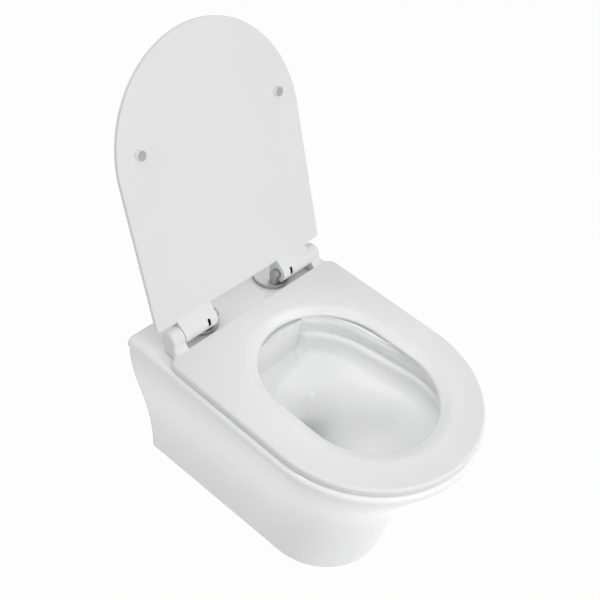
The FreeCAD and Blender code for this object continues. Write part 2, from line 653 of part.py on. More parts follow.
inlet_seal = new_body("InletSeal")
seal_ring = circle_sketch(inlet_seal, "SealCircle", "XZ_Plane", "inlet_radius", "0", "0")
pad(inlet_seal, "SealPad", seal_ring, "seal_length")
seal_bore = circle_sketch(inlet_seal, "SealBoreCircle", "XZ_Plane", "seal_bore_radius", "0", "0")
pocket(inlet_seal, "SealBore", seal_bore, reverse=True)
place(inlet_seal, z="inlet_above_studs")
finish(inlet_seal, "inlet_seal")

# ---- flush splitter ------------------------------------------------------------------------
# A moulded cover on the bowl's back wall: its neck plugs into the duct, and the open ends
# turn the water both ways round the channel.

splitter_cover = new_body("SplitterCover")
FACE = "bowl_heel + splitter_stand"


def splitter_plate(name, top, bottom, depth):
    """A plate across the splitter between two depths below the rim, back from its face."""
    outline = polygon_sketch(splitter_cover, f"{name}Outline", "XZ_Plane",
                             [("-(splitter_half_width)", f"-({top})"),
                              ("splitter_half_width", f"-({top})"),
                              ("splitter_half_width", f"-({bottom})"),
                              ("-(splitter_half_width)", f"-({bottom})")], FACE)
    pad(splitter_cover, name, outline, depth, reverse=True)


splitter_plate("Cover", "splitter_top", "splitter_bottom", "splitter_skin")
splitter_plate("UpperLip", "splitter_top", "splitter_top + splitter_skin", "splitter_lip")
splitter_plate("LowerLip", "splitter_bottom - splitter_skin", "splitter_bottom", "splitter_lip")
neck_outside = wall_cylinder("NeckOutside", "inlet_duct_radius", "0", INLET_Z,
                             "bowl_heel - splitter_neck", "splitter_neck + splitter_stand - splitter_skin / 2")
neck_inside = wall_cylinder("NeckInside", "inlet_duct_radius - splitter_skin", "0", INLET_Z,
                            f"bowl_heel - splitter_neck - {THROUGH}",
                            f"splitter_neck + splitter_stand - splitter_skin + {THROUGH}")
windows = new_body("NeckWindows")
window = polygon_sketch(windows, "WindowOutline", "YZ_Plane",
                        [("-(bowl_heel + splitter_skin)", f"{INLET_Z} + neck_window_half"),
                         (f"-({FACE} - splitter_skin)", f"{INLET_Z} + neck_window_half"),
                         (f"-({FACE} - splitter_skin)", f"{INLET_Z} - neck_window_half"),
                         ("-(bowl_heel + splitter_skin)", f"{INLET_Z} - neck_window_half")])
pad(windows, "WindowPad", window, "splitter_half_width * 2", midplane=True)
bowl_space = boolean("Part::MultiFuse", "BowlSpace", bowl_inside, inlet_duct)
splitter_blank = boolean("Part::MultiFuse", "SplitterBlank", splitter_cover, neck_outside)
splitter_ways = boolean("Part::MultiFuse", "SplitterWays", neck_inside, windows)
splitter_open = boolean("Part::Cut", "SplitterOpen", splitter_blank, splitter_ways)
splitter = boolean("Part::MultiCommon", "Splitter", splitter_open, bowl_space)
place(splitter, z=RIM)
finish(splitter, "flush_splitter")

# ---- seat fixings --------------------------------------------------------------------------
# Each side has a bolt down through the deck, with a rubber plug and a brass cone nut that
# swells it from below.

HOLE_X = "hinge_spacing / 2"
HOLE_Y = "-(hinge_hole_from_wall)"
FOOT_TOP = "gasket_thickness + foot_thickness"
STEEL_TOP = "gasket_thickness + rosette_height"

bolt = new_body("HingeBolt")
bolt_head = circle_sketch(bolt, "BoltHeadCircle", "XY_Plane", "bolt_head_radius", HOLE_X, HOLE_Y, FOOT_TOP)
pad(bolt, "BoltHead", bolt_head, "bolt_head_height")
bolt_shank = circle_sketch(bolt, "BoltShankCircle", "XY_Plane", "bolt_radius", HOLE_X, HOLE_Y, FOOT_TOP)
pad(bolt, "BoltShank", bolt_shank, "bolt_length", reverse=True)

plug = new_body("HingePlug")
plug_ring = circle_sketch(plug, "PlugCircle", "XY_Plane", "plug_radius", HOLE_X, HOLE_Y, "-(plug_top_gap)")
pad(plug, "PlugPad", plug_ring, "plug_length", reverse=True)
plug_bore = circle_sketch(plug, "PlugBoreCircle", "XY_Plane", "bolt_radius", HOLE_X, HOLE_Y)
pocket(plug, "PlugBore", plug_bore)

cone = new_body("ConeNut")
CONE_TOP = "-(plug_top_gap + plug_length)"
cone_top = circle_sketch(cone, "ConeTopCircle", "XY_Plane", "cone_top_radius", HOLE_X, HOLE_Y, CONE_TOP)
cone_end = circle_sketch(cone, "ConeEndCircle", "XY_Plane", "plug_radius", HOLE_X, HOLE_Y,
                         f"{CONE_TOP} - cone_length")
loft(cone, "ConeLoft", [cone_top, cone_end])
cone_bore = circle_sketch(cone, "ConeBoreCircle", "XY_Plane", "bolt_radius", HOLE_X, HOLE_Y)
pocket(cone, "ConeBore", cone_bore)

gasket = new_body("HingeGasket")
gasket_ring = circle_sketch(gasket, "GasketCircle", "XY_Plane", "rosette_radius - rosette_bevel",
                            HOLE_X, HOLE_Y)
pad(gasket, "GasketPad", gasket_ring, "gasket_thickness")
gasket_bore = circle_sketch(gasket, "GasketBoreCircle", "XY_Plane", "bolt_radius", HOLE_X, HOLE_Y,
                            f"{THROUGH} + gasket_thickness")
pocket(gasket, "GasketBore", gasket_bore)

for feature, label in ((bolt, "hinge_bolt"), (plug, "rubber_plug"), (cone, "cone_nut"),
                       (gasket, "hinge_gasket")):
    place(feature, z=RIM)
    finish(feature, f"{label}_right")
    mirrored(feature, f"{label}_left")

# ---- hinge posts and their covers ----------------------------------------------------------
# A steel foot plate under a round cover, with a neck that carries the horizontal round head
# in which the hinge pin is pressed.

foot = new_body("HingeFoot")
foot_plate = circle_sketch(foot, "FootCircle", "XY_Plane", "foot_radius", HOLE_X, HOLE_Y, "gasket_thickness")
pad(foot, "FootPad", foot_plate, "foot_thickness")
neck_near = "-(axis_from_wall - post_neck_length / 2)"
neck_far = "-(axis_from_wall + post_neck_length / 2)"
neck_plan = polygon_sketch(foot, "NeckOutline", "XY_Plane",
                           [("post_inner", neck_far), ("post_inner + post_width", neck_far),
                            ("post_inner + post_width", neck_near), ("post_inner", neck_near)],
                           "gasket_thickness")
pad(foot, "Neck", neck_plan, "axis_height - gasket_thickness")
foot_bore = circle_sketch(foot, "FootBoreCircle", "XY_Plane", "bolt_radius", HOLE_X, HOLE_Y, FOOT_TOP)
pocket(foot, "FootBore", foot_bore)


def axle_bar(name, radius, start, length):
    """A round bar on the hinge axis, in the rim's frame, from start outwards along +X."""
    body = new_body(name)
    circle = circle_sketch(body, f"{name}Circle", "YZ_Plane", radius, "0", "0", start)
    pad(body, f"{name}Pad", circle, length)
    return place(body, y="-(axis_from_wall)", z="axis_height")


PIN_START = "post_inner + pin_cover"
EAR_INNER = "barrel_outer + hinge_gap"
head = axle_bar("PostHead", "post_head_radius", "post_inner", "post_width")
head_bore = axle_bar("PostHeadBore", "pin_radius", PIN_START, "post_width")
post_blank = boolean("Part::MultiFuse", "PostBlank", foot, head)
post = boolean("Part::Cut", "HingePost", post_blank, head_bore)

rosette = new_body("Rosette")
rosette_ring = circle_sketch(rosette, "RosetteCircle", "XY_Plane", "rosette_radius", HOLE_X, HOLE_Y,
                             "gasket_thickness")
rosette_pad = pad(rosette, "RosettePad", rosette_ring, "rosette_height")
doc.recompute()
rosette_rim = [f"Edge{number}" for number, edge in enumerate(rosette_pad.Shape.Edges, start=1)
               if lies_at(edge, val(STEEL_TOP))]
bevel = rosette.newObject("PartDesign::Chamfer", "RosetteBevel")
bevel.Base = (rosette_pad, rosette_rim)
bevel.setExpression("Size", bound("rosette_bevel"))
rosette_cave = circle_sketch(rosette, "RosetteCaveCircle", "XY_Plane", "rosette_radius - rosette_skin",
                             HOLE_X, HOLE_Y, "gasket_thickness")
pocket(rosette, "RosetteCave", rosette_cave, "rosette_height - rosette_skin", reverse=True)
opening = polygon_sketch(rosette, "NeckOpeningOutline", "XY_Plane",
                         [("post_inner - cover_gap", f"{neck_far} - cover_gap"),
                          ("post_inner + post_width + cover_gap", f"{neck_far} - cover_gap"),
                          ("post_inner + post_width + cover_gap", f"{neck_near} + cover_gap"),
                          ("post_inner - cover_gap", f"{neck_near} + cover_gap")],
                         f"{STEEL_TOP} + {THROUGH}")
pocket(rosette, "NeckOpening", opening)

for feature, label in ((post, "hinge_post"), (rosette, "hinge_cover")):
    place(feature, z=RIM)
    finish(feature, f"{label}_right")
    mirrored(feature, f"{label}_left")


def on_axis(feature, turned):
    """Place a piece drawn about the hinge axis, with the lid's pieces turned open."""
    if turned:
        feature.Placement = FreeCAD.Placement(FreeCAD.Vector(), FreeCAD.Rotation(
            FreeCAD.Vector(-1, 0, 0), val("lid_angle")))
        feature.setExpression("Placement.Rotation.Angle", bound("lid_angle"))
    return place(feature, y="-(axis_from_wall)", z="rim_above_studs + axis_height")


def axis_bar(name, radius, start, length, bore=None):
    """A round bar along the hinge axis, drawn about the axis, with or without a bore."""
    body = new_body(name)
    circle = circle_sketch(body, f"{name}Circle", "YZ_Plane", radius, "0", "0", start)
    pad(body, f"{name}Pad", circle, length)
    if bore is not None:
        hole = circle_sketch(body, f"{name}BoreCircle", "YZ_Plane", bore, "0", "0",
                             f"{start} - {THROUGH}")
        pocket(body, f"{name}Bore", hole, reverse=True)
    return body


# ---- hinge pins, bushes and dampers --------------------------------------------------------
# The steel pin runs out from the post through the lid's barrel into the seat's ear.  The left
# barrel holds the lid's damper and the right one the seat's, whose flats drive the ear.

BEARING = "pin_radius + running_gap"
BARREL_INNER = "post_inner + post_width + hinge_gap"
DAMPER_START = "post_inner + post_width + hinge_gap + bush_length + hinge_gap"

pin = axis_bar("HingePin", "pin_radius", PIN_START,
               "barrel_outer + hinge_gap + ear_bore_depth - pin_end_gap - post_inner - pin_cover")
on_axis(pin, False)
finish(pin, "hinge_pin_right")
mirrored(pin, "hinge_pin_left")

lid_bush = axis_bar("LidBush", "barrel_bore", BARREL_INNER, "bush_length", BEARING)
on_axis(lid_bush, True)
finish(lid_bush, "lid_bush_right")
mirrored(lid_bush, "lid_bush_left")

lid_damper = axis_bar("LidDamper", "barrel_bore", DAMPER_START, f"barrel_outer - ({DAMPER_START})", BEARING)
on_axis(lid_damper, True)
lid_damper_left = mirrored(lid_damper, "lid_damper")


def drive_bar(name):
    """The flatted bar that keys the seat's ear, drawn about the hinge axis."""
    body = axis_bar(name, "ear_bore", EAR_INNER, "ear_bore_depth")
    for side, sign in (("Upper", ""), ("Lower", "-")):
        flat = polygon_sketch(body, f"{name}{side}Flat", "YZ_Plane",
                              [("-(ear_bore)", f"{sign}(drive_flat)"), ("ear_bore", f"{sign}(drive_flat)"),
                               ("ear_bore", f"{sign}(ear_bore)"), ("-(ear_bore)", f"{sign}(ear_bore)")],
                              f"{EAR_INNER} - {THROUGH}")
        pocket(body, f"{name}{side}Cut", flat, f"ear_bore_depth + 2 * {THROUGH}", reverse=True)
    return body


drive = drive_bar("DriveForm")
bearing_way = axis_bar("BearingWay", BEARING, f"{DAMPER_START} - {THROUGH}",
                       f"{EAR_INNER} + ear_bore_depth - ({DAMPER_START}) + 2 * {THROUGH}")
seat_bush = boolean("Part::Cut", "SeatBush", drive, bearing_way)
on_axis(seat_bush, False)
seat_bush_left = mirrored(seat_bush, "seat_bush")

damper_body = axis_bar("SeatDamperBody", "barrel_bore - damper_gap", DAMPER_START,
                       f"{EAR_INNER} - ({DAMPER_START})")
damper_blank = boolean("Part::MultiFuse", "SeatDamperBlank", damper_body, drive)
seat_damper = boolean("Part::Cut", "SeatDamper", damper_blank, bearing_way)
on_axis(seat_damper, False)
finish(seat_damper, "seat_damper")

# ---- seat ring -----------------------------------------------------------------------------
# A slim moulded ring.  Its back corners sweep in on S-curves to two ears, which rise to round
# knuckles on the hinge axis; between them the back edge is straight.

EAR_OUTER = "barrel_outer + hinge_gap + ear_width"
SEAT_TOP = "seat_underside + seat_thickness"
EAR_END = f"axis_from_wall - ear_radius - {THROUGH}"
ABOVE_FRONT = "ear_outer_line + 2 * ear_overlap"
ABOVE_BACK = f"axis_from_wall - ear_radius - 2 * {THROUGH}"
ABOVE_TOP = f"axis_height + ear_radius + 2 * {THROUGH}"


def tangent_angle(y, z, radius, turn):
    """Where a line from y, z touches the circle about the axis, on the side that turn picks."""
    return math.atan2(z, y) + turn * math.acos(radius / math.hypot(y, z))



def ear_sketch(body):
    """Plan of the right ear: a reversed curve from the seat's side to the ear's side."""
    sketch = new_sketch(body, "EarOutline", "XY_Plane", "seat_underside")
    inner, outer, half = val(EAR_INNER), val(EAR_OUTER), val("seat_width / 2")
    start, radius = -val("ear_outer_line"), val("ear_sweep_radius")
    turn = math.acos(1 - (half - outer) / (2 * radius))
    rise = 2 * radius * math.sin(turn)
    up = FreeCAD.Vector(0, 0, 1)
    end = -val(EAR_END)
    corners = [(inner, start - val("ear_overlap")), (half, start - val("ear_overlap")), (half, start),
               (outer, start + rise), (outer, end), (inner, end)]
    points = [FreeCAD.Vector(x, y, 0) for x, y in corners]
    first_circle = Part.Circle(FreeCAD.Vector(half - radius, start, 0), up, radius)
    second_circle = Part.Circle(FreeCAD.Vector(outer + radius, start + rise, 0), up, radius)
    sketch.addGeometry(Part.LineSegment(points[0], points[1]), False)
    sketch.addGeometry(Part.LineSegment(points[1], points[2]), False)
    sketch.addGeometry(Part.ArcOfCircle(first_circle, 0, turn), False)
    sketch.addGeometry(Part.ArcOfCircle(second_circle, math.pi, math.pi + turn), False)
    sketch.addGeometry(Part.LineSegment(points[3], points[4]), False)
    sketch.addGeometry(Part.LineSegment(points[4], points[5]), False)
    sketch.addGeometry(Part.LineSegment(points[5], points[0]), False)
    for constraint in (("Coincident", 0, 2, 1, 1), ("Tangent", 1, 2, 2, 1), ("Tangent", 2, 2, 3, 2),
                       ("Tangent", 3, 1, 4, 1), ("Coincident", 4, 2, 5, 1), ("Coincident", 5, 2, 6, 1),
                       ("Coincident", 6, 2, 0, 1), ("Horizontal", 0), ("Vertical", 1), ("Vertical", 4),
                       ("Horizontal", 5), ("Vertical", 6), ("Equal", 2, 3)):
        sketch.addConstraint(Sketcher.Constraint(*constraint))
    dimension(sketch, "inner", EAR_INNER, "DistanceX", -1, 1, 0, 1)
    dimension(sketch, "front", "ear_outer_line + ear_overlap", "DistanceY", 0, 1, -1, 1)
    dimension(sketch, "side", "seat_width / 2", "DistanceX", -1, 1, 1, 1)
    dimension(sketch, "sweep_start", "ear_outer_line", "DistanceY", 1, 2, -1, 1)
    dimension(sketch, "sweep", "ear_sweep_radius", "Radius", 2)
    dimension(sketch, "outer", EAR_OUTER, "DistanceX", -1, 1, 4, 1)
    dimension(sketch, "end", EAR_END, "DistanceY", 4, 2, -1, 1)
    return sketch


def above_ear_sketch(body):
    """Side view of what is cut off the ears: all above the fairing and the round knuckle."""
    sketch = new_sketch(body, "AboveEarOutline", "YZ_Plane")
    axis_y, axis_z, radius = -val("axis_from_wall"), val("axis_height"), val("ear_radius")
    seat_top, fairing = val(SEAT_TOP), val("ear_fairing")
    fairing_z = seat_top + fairing
    fairing_y = axis_y - math.sqrt((radius + fairing) ** 2 - (fairing_z - axis_z) ** 2)
    lean = math.atan2(axis_z - fairing_z, axis_y - fairing_y)
    heel = FreeCAD.Vector(axis_y + val("ear_heel"), val(f"seat_underside - {THROUGH}"), 0)
    rear = tangent_angle(heel.x - axis_y, heel.y - axis_z, radius, 1)
    rear_touch = FreeCAD.Vector(axis_y + radius * math.cos(rear), axis_z + radius * math.sin(rear), 0)
    front_y, back_y, high = -val(ABOVE_FRONT), -val(ABOVE_BACK), val(ABOVE_TOP)
    up = FreeCAD.Vector(0, 0, 1)
    fairing_circle = Part.Circle(FreeCAD.Vector(fairing_y, fairing_z, 0), up, fairing)
    knuckle_circle = Part.Circle(FreeCAD.Vector(axis_y, axis_z, 0), up, radius)
    outside = [heel, FreeCAD.Vector(back_y, heel.y, 0), FreeCAD.Vector(back_y, high, 0),
               FreeCAD.Vector(front_y, high, 0), FreeCAD.Vector(front_y, seat_top, 0)]
    sketch.addGeometry(Part.LineSegment(outside[4], FreeCAD.Vector(fairing_y, seat_top, 0)), False)
    sketch.addGeometry(Part.ArcOfCircle(fairing_circle, -math.pi / 2, lean), False)
    sketch.addGeometry(Part.ArcOfCircle(knuckle_circle, rear, math.pi + lean), False)
    sketch.addGeometry(Part.LineSegment(rear_touch, outside[0]), False)
    for index in range(4):
        sketch.addGeometry(Part.LineSegment(outside[index], outside[index + 1]), False)
    for constraint in (("Tangent", 0, 2, 1, 1), ("Tangent", 1, 2, 2, 2), ("Tangent", 2, 1, 3, 1),
                       ("Coincident", 3, 2, 4, 1), ("Coincident", 4, 2, 5, 1), ("Coincident", 5, 2, 6, 1),
                       ("Coincident", 6, 2, 7, 1), ("Coincident", 7, 2, 0, 1), ("Horizontal", 0),
                       ("Horizontal", 4), ("Vertical", 5), ("Horizontal", 6), ("Vertical", 7)):
        sketch.addConstraint(Sketcher.Constraint(*constraint))
    dimension(sketch, "radius", "ear_radius", "Radius", 2)
    dimension(sketch, "axis_y", "axis_from_wall", "DistanceX", 2, 3, -1, 1)
    dimension(sketch, "axis_z", "axis_height", "DistanceY", -1, 1, 2, 3)
    dimension(sketch, "fairing", "ear_fairing", "Radius", 1)
    dimension(sketch, "seat_top", SEAT_TOP, "DistanceY", -1, 1, 0, 1)
    dimension(sketch, "front", ABOVE_FRONT, "DistanceX", 0, 1, -1, 1)
    dimension(sketch, "heel_y", "axis_from_wall - ear_heel", "DistanceX", 3, 2, -1, 1)
    dimension(sketch, "heel_z", f"seat_underside - {THROUGH}", "DistanceY", -1, 1, 3, 2)
    dimension(sketch, "back", ABOVE_BACK, "DistanceX", 5, 1, -1, 1)
    dimension(sketch, "high", ABOVE_TOP, "DistanceY", -1, 1, 6, 1)
    return sketch


seat_plate = new_body("SeatPlate")
seat_ring = tongue_sketch(seat_plate, "SeatRingOutline", "ear_outer_line", "seat_width / 2",
                          "seat_width / 2", "seat_tip", "seat_underside")
pad(seat_plate, "SeatRing", seat_ring, "seat_thickness")
bridge = polygon_sketch(seat_plate, "SeatBridgeOutline", "XY_Plane",
                        [(f"-({EAR_INNER})", "-(ear_outer_line + ear_overlap)"),
                         (EAR_INNER, "-(ear_outer_line + ear_overlap)"),
                         (EAR_INNER, "-(seat_rear)"), (f"-({EAR_INNER})", "-(seat_rear)")],
                        "seat_underside")
pad(seat_plate, "SeatBridge", bridge, "seat_thickness")
ear_pad = pad(seat_plate, "EarPlate", ear_sketch(seat_plate),
              f"axis_height + ear_radius + {THROUGH} - seat_underside")
ear_pair = seat_plate.newObject("PartDesign::Mirrored", "EarPair")
ear_pair.Originals = [ear_pad]
ear_pair.MirrorPlane = (origin_plane(seat_plate, "YZ_Plane"), [""])
seat_plate.Tip = ear_pair
ears_cut = pocket(seat_plate, "AboveEars", above_ear_sketch(seat_plate), "seat_width * 2", midplane=True)
seat_top_z = val(SEAT_TOP)
foot_line = val("seat_underside")


def sides_from(edge, reach):
    """True when the whole edge lies further than reach from the middle, on one side."""
    box = edge.BoundBox
    return box.XMin > reach or box.XMax < -reach


def on_outer_top(edge):
    """The upper outer edge, from the nose back along the sides and up over both ears."""
    box = edge.BoundBox
    upright = box.XLength < FIND_TOLERANCE and box.YLength < FIND_TOLERANCE
    over_ear = box.ZMax > seat_top_z + THROUGH and sides_from(edge, val(EAR_INNER) + THROUGH)
    along_side = lies_at(edge, seat_top_z) and (sides_from(edge, val(EAR_INNER) + THROUGH)
                                                or box.YMin < THROUGH - val("seat_tip"))
    return not upright and (over_ear or along_side)


outer_round = round_edges(seat_plate, "SeatOuterRound", ears_cut, "seat_edge_radius", on_outer_top)
rear_round = round_edges(seat_plate, "SeatRearRound", outer_round, "seat_rear_radius",
                         lambda edge: lies_at(edge, seat_top_z)
                         and abs(edge.BoundBox.YMax + val("seat_rear")) < FIND_TOLERANCE
                         and edge.BoundBox.YLength < FIND_TOLERANCE)
DISH_FOOT = f"{SEAT_TOP} - seat_dish_drop"


def hole_sketch(name, grow, level):
    """The seat hole's outline, grown all round, at a level above the rim."""
    return egg_sketch(seat_plate, name, f"seat_hole_rear - ({grow})", f"seat_hole_half_width + ({grow})",
                      f"seat_hole_half_width + ({grow})", f"seat_hole_tip + ({grow})", level)


hole_cut = pocket(seat_plate, "SeatHole", hole_sketch("SeatHoleOutline", "0", SEAT_TOP))
dish = loft(seat_plate, "SeatDish", [hole_sketch("DishUpperOutline", "seat_dish_width", SEAT_TOP),
                                     hole_sketch("DishLowerOutline", "0", DISH_FOOT)], "Subtractive")


def on_hole(edge):
    box = edge.BoundBox
    reach = val("seat_hole_half_width + seat_dish_width") + THROUGH
    return (max(abs(box.XMin), abs(box.XMax)) < reach and box.YMax < -val("seat_rear") - THROUGH
            and box.YMin > -val("seat_hole_tip + seat_dish_width") - THROUGH)


dish_round = round_edges(seat_plate, "SeatDishRound", dish, "seat_dish_radius",
                         lambda edge: lies_at(edge, seat_top_z) and on_hole(edge))
inner_round = round_edges(seat_plate, "SeatInnerRound", dish_round, "seat_inner_radius",
                          lambda edge: lies_at(edge, val(DISH_FOOT)) and on_hole(edge))
lower_round = round_edges(seat_plate, "SeatLowerRound", inner_round, "seat_foot_radius",
                          lambda edge: lies_at(edge, foot_line) and on_hole(edge))
PAD_SPOTS = (("Back", "seat_pad_back_x", "seat_pad_back_y"), ("Front", "seat_pad_front_x", "seat_pad_front_y"))
for place_name, pad_x, pad_y in PAD_SPOTS:
    for side, sign in (("Right", ""), ("Left", "-")):
        peg_hole = circle_sketch(seat_plate, f"PegHole{place_name}{side}", "XY_Plane", "pad_peg_radius",
                                 f"{sign}({pad_x})", f"-({pad_y})", "seat_underside")
        pocket(seat_plate, f"Peg{place_name}{side}", peg_hole, "pad_peg_length", reverse=True)


drive_way = drive_bar("DriveWay")
place(drive_way, y="-(axis_from_wall)", z="axis_height")
drive_way_left = doc.addObject("Part::Mirroring", "DriveWayLeft")
drive_way_left.Source = drive_way
drive_way_left.Normal = FreeCAD.Vector(1, 0, 0)
drive_ways = boolean("Part::MultiFuse", "DriveWays", drive_way, drive_way_left)
seat = boolean("Part::Cut", "Seat", seat_plate, drive_ways)
place(seat, z=RIM)
finish(seat, "seat_ring")

seat_pads = new_body("SeatPads")
for place_name, pad_x, pad_y in PAD_SPOTS:
    for side, sign in (("Right", ""), ("Left", "-")):
        foot_circle = circle_sketch(seat_pads, f"PadCircle{place_name}{side}", "XY_Plane", "pad_radius",
                                    f"{sign}({pad_x})", f"-({pad_y})", "pad_rest_gap")
        pad(seat_pads, f"Pad{place_name}{side}", foot_circle, "seat_underside - pad_rest_gap")
        peg_circle = circle_sketch(seat_pads, f"PegCircle{place_name}{side}", "XY_Plane", "pad_peg_radius",
                                   f"{sign}({pad_x})", f"-({pad_y})", "seat_underside")
        pad(seat_pads, f"Peg{place_name}{side}Bar", peg_circle, "pad_peg_length")
place(seat_pads, z=RIM)
finish(seat_pads, "seat_pads")

# ---- lid -----------------------------------------------------------------------------------
# A slim moulded plate, drawn closed about the hinge axis and placed open.  Two hollow barrels
# on its back edge run out of the plate on tangents and are cut away below their inboard ends.

lid_plate = new_body("LidPlate")
lid_outline = tongue_sketch(lid_plate, "LidOutline", "lid_rear", "lid_width / 2", "lid_width / 2",
                            "lid_tip", "-(lid_underside)")
lid_pad = pad(lid_plate, "LidPad", lid_outline, "lid_thickness")
lid_back = -val("lid_rear")
lid_side = val("lid_width / 2")
corner_round = round_edges(lid_plate, "LidCorners", lid_pad, "lid_corner_radius",
                           lambda edge: edge.BoundBox.ZLength > val("lid_thickness") - FIND_TOLERANCE
                           and abs(edge.BoundBox.YMax - lid_back) < FIND_TOLERANCE)
edge_round = round_edges(lid_plate, "LidEdges", corner_round, "lid_edge_radius",
                         lambda edge: edge.BoundBox.ZLength < FIND_TOLERANCE)
for side, sign in (("Right", ""), ("Left", "-")):
    lid_peg = circle_sketch(lid_plate, f"LidPegHole{side}", "XY_Plane", "pad_peg_radius",
                            f"{sign}(lid_pad_half_spacing)", "-(lid_pad_from_axis)", "-(lid_underside)")
    pocket(lid_plate, f"LidPeg{side}", lid_peg, "pad_peg_length", reverse=True)

barrel = new_body("Barrel")
barrel_outline = new_sketch(barrel, "BarrelOutline", "YZ_Plane", BARREL_INNER)
barrel_r = val("barrel_radius")
upper = (-val("barrel_blend_upper"), val("lid_thickness - lid_underside - barrel_sink"))
lower = (-val("barrel_blend_lower"), -val("lid_underside - barrel_sink"))
upper_touch = tangent_angle(*upper, barrel_r, -1)
lower_touch = tangent_angle(*lower, barrel_r, 1)
barrel_circle = Part.Circle(FreeCAD.Vector(0, 0, 0), FreeCAD.Vector(0, 0, 1), barrel_r)
touch_points = [FreeCAD.Vector(barrel_r * math.cos(angle), barrel_r * math.sin(angle), 0)
                for angle in (upper_touch, lower_touch)]
blend_points = [FreeCAD.Vector(*upper, 0), FreeCAD.Vector(*lower, 0)]
barrel_outline.addGeometry(Part.ArcOfCircle(barrel_circle, lower_touch, upper_touch), False)
barrel_outline.addGeometry(Part.LineSegment(touch_points[0], blend_points[0]), False)
barrel_outline.addGeometry(Part.LineSegment(blend_points[0], blend_points[1]), False)
barrel_outline.addGeometry(Part.LineSegment(blend_points[1], touch_points[1]), False)
for constraint in (("Coincident", 0, 3, -1, 1), ("Tangent", 0, 2, 1, 1), ("Coincident", 1, 2, 2, 1),
                   ("Coincident", 2, 2, 3, 1), ("Tangent", 3, 2, 0, 1)):
    barrel_outline.addConstraint(Sketcher.Constraint(*constraint))
dimension(barrel_outline, "radius", "barrel_radius", "Radius", 0)
dimension(barrel_outline, "upper_y", "barrel_blend_upper", "DistanceX", 1, 2, -1, 1)
dimension(barrel_outline, "upper_z", "lid_thickness - lid_underside - barrel_sink", "DistanceY", -1, 1, 1, 2)
dimension(barrel_outline, "lower_y", "barrel_blend_lower", "DistanceX", 2, 2, -1, 1)
dimension(barrel_outline, "lower_z", "lid_underside - barrel_sink", "DistanceY", 2, 2, -1, 1)
barrel_pad = pad(barrel, "BarrelPad", barrel_outline, f"barrel_outer - ({BARREL_INNER})")
barrel_bore = circle_sketch(barrel, "BarrelBoreCircle", "YZ_Plane", "barrel_bore", "0", "0",
                            f"{BARREL_INNER} - {THROUGH}")
pocket(barrel, "BarrelBore", barrel_bore, reverse=True)
slot = polygon_sketch(barrel, "SlotOutline", "XY_Plane",
                      [("slot_from_middle - slot_width / 2", "-(slot_length / 2)"),
                       ("slot_from_middle + slot_width / 2", "-(slot_length / 2)"),
                       ("slot_from_middle + slot_width / 2", "slot_length / 2"),
                       ("slot_from_middle - slot_width / 2", "slot_length / 2")])
slot_cut = pocket(barrel, "Slot", slot, f"barrel_radius + {THROUGH}")
round_edges(barrel, "SlotRound", slot_cut, "slot_corner",
            lambda edge: edge.BoundBox.XLength < FIND_TOLERANCE and edge.BoundBox.YLength < FIND_TOLERANCE
            and edge.BoundBox.ZMax < 0
            and abs(abs((edge.BoundBox.XMin - val("slot_from_middle"))) - val("slot_width / 2")) < FIND_TOLERANCE)
relief = new_body("BarrelRelief")
relief_box = polygon_sketch(relief, "ReliefOutline", "XZ_Plane",
                            [(f"{BARREL_INNER} - {THROUGH}", "-(barrel_relief)"),
                             (f"{BARREL_INNER} + relief_length", "-(barrel_relief)"),
                             (f"{BARREL_INNER} + relief_length", "-(barrel_radius * 2)"),
                             (f"{BARREL_INNER} - {THROUGH}", "-(barrel_radius * 2)")])
pad(relief, "ReliefPad", relief_box, "barrel_radius * 2", midplane=True)
relief.Placement = FreeCAD.Placement(FreeCAD.Vector(), FreeCAD.Rotation(
    FreeCAD.Vector(1, 0, 0), val("lid_angle")))
relief.setExpression("Placement.Rotation.Angle", bound("lid_angle"))
barrel_cut = boolean("Part::Cut", "BarrelCut", barrel, relief)
barrel_left = doc.addObject("Part::Mirroring", "BarrelLeft")
barrel_left.Source = barrel_cut
barrel_left.Normal = FreeCAD.Vector(1, 0, 0)
lid = boolean("Part::MultiFuse", "Lid", lid_plate, barrel_cut, barrel_left)
on_axis(lid, True)
finish(lid, "lid")

lid_pads = new_body("LidPads")
LID_PAD_LENGTH = f"axis_height - lid_underside - ({SEAT_TOP}) - pad_rest_gap"
for side, sign in (("Right", ""), ("Left", "-")):
    lid_circle = circle_sketch(lid_pads, f"LidPadCircle{side}", "XY_Plane", "pad_radius",
                               f"{sign}(lid_pad_half_spacing)", "-(lid_pad_from_axis)", "-(lid_underside)")
    pad(lid_pads, f"LidPad{side}", lid_circle, LID_PAD_LENGTH, reverse=True)
    peg_circle = circle_sketch(lid_pads, f"LidPegCircle{side}", "XY_Plane", "pad_peg_radius",
                               f"{sign}(lid_pad_half_spacing)", "-(lid_pad_from_axis)", "-(lid_underside)")
    pad(lid_pads, f"LidPeg{side}Bar", peg_circle, "pad_peg_length")
on_axis(lid_pads, True)
finish(lid_pads, "lid_pads")

# ---- checks and files ----------------------------------------------------------------------

doc.recompute()
for item in doc.Objects:
    if "Invalid" in item.State or "Error" in item.State:
        raise RuntimeError(f"{item.Label} did not build: {item.State}")
for item in FINISHED:
    if item.Shape.isNull() or not item.Shape.isValid():
        raise RuntimeError(f"{item.Label} has no sound shape")

os.makedirs("parts", exist_ok=True)
for item in FINISHED:
    item.Shape.exportStep(f"parts/{item.Label}.step")
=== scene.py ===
import math
from types import SimpleNamespace

import bmesh
import bpy
from mathutils import Matrix, Vector


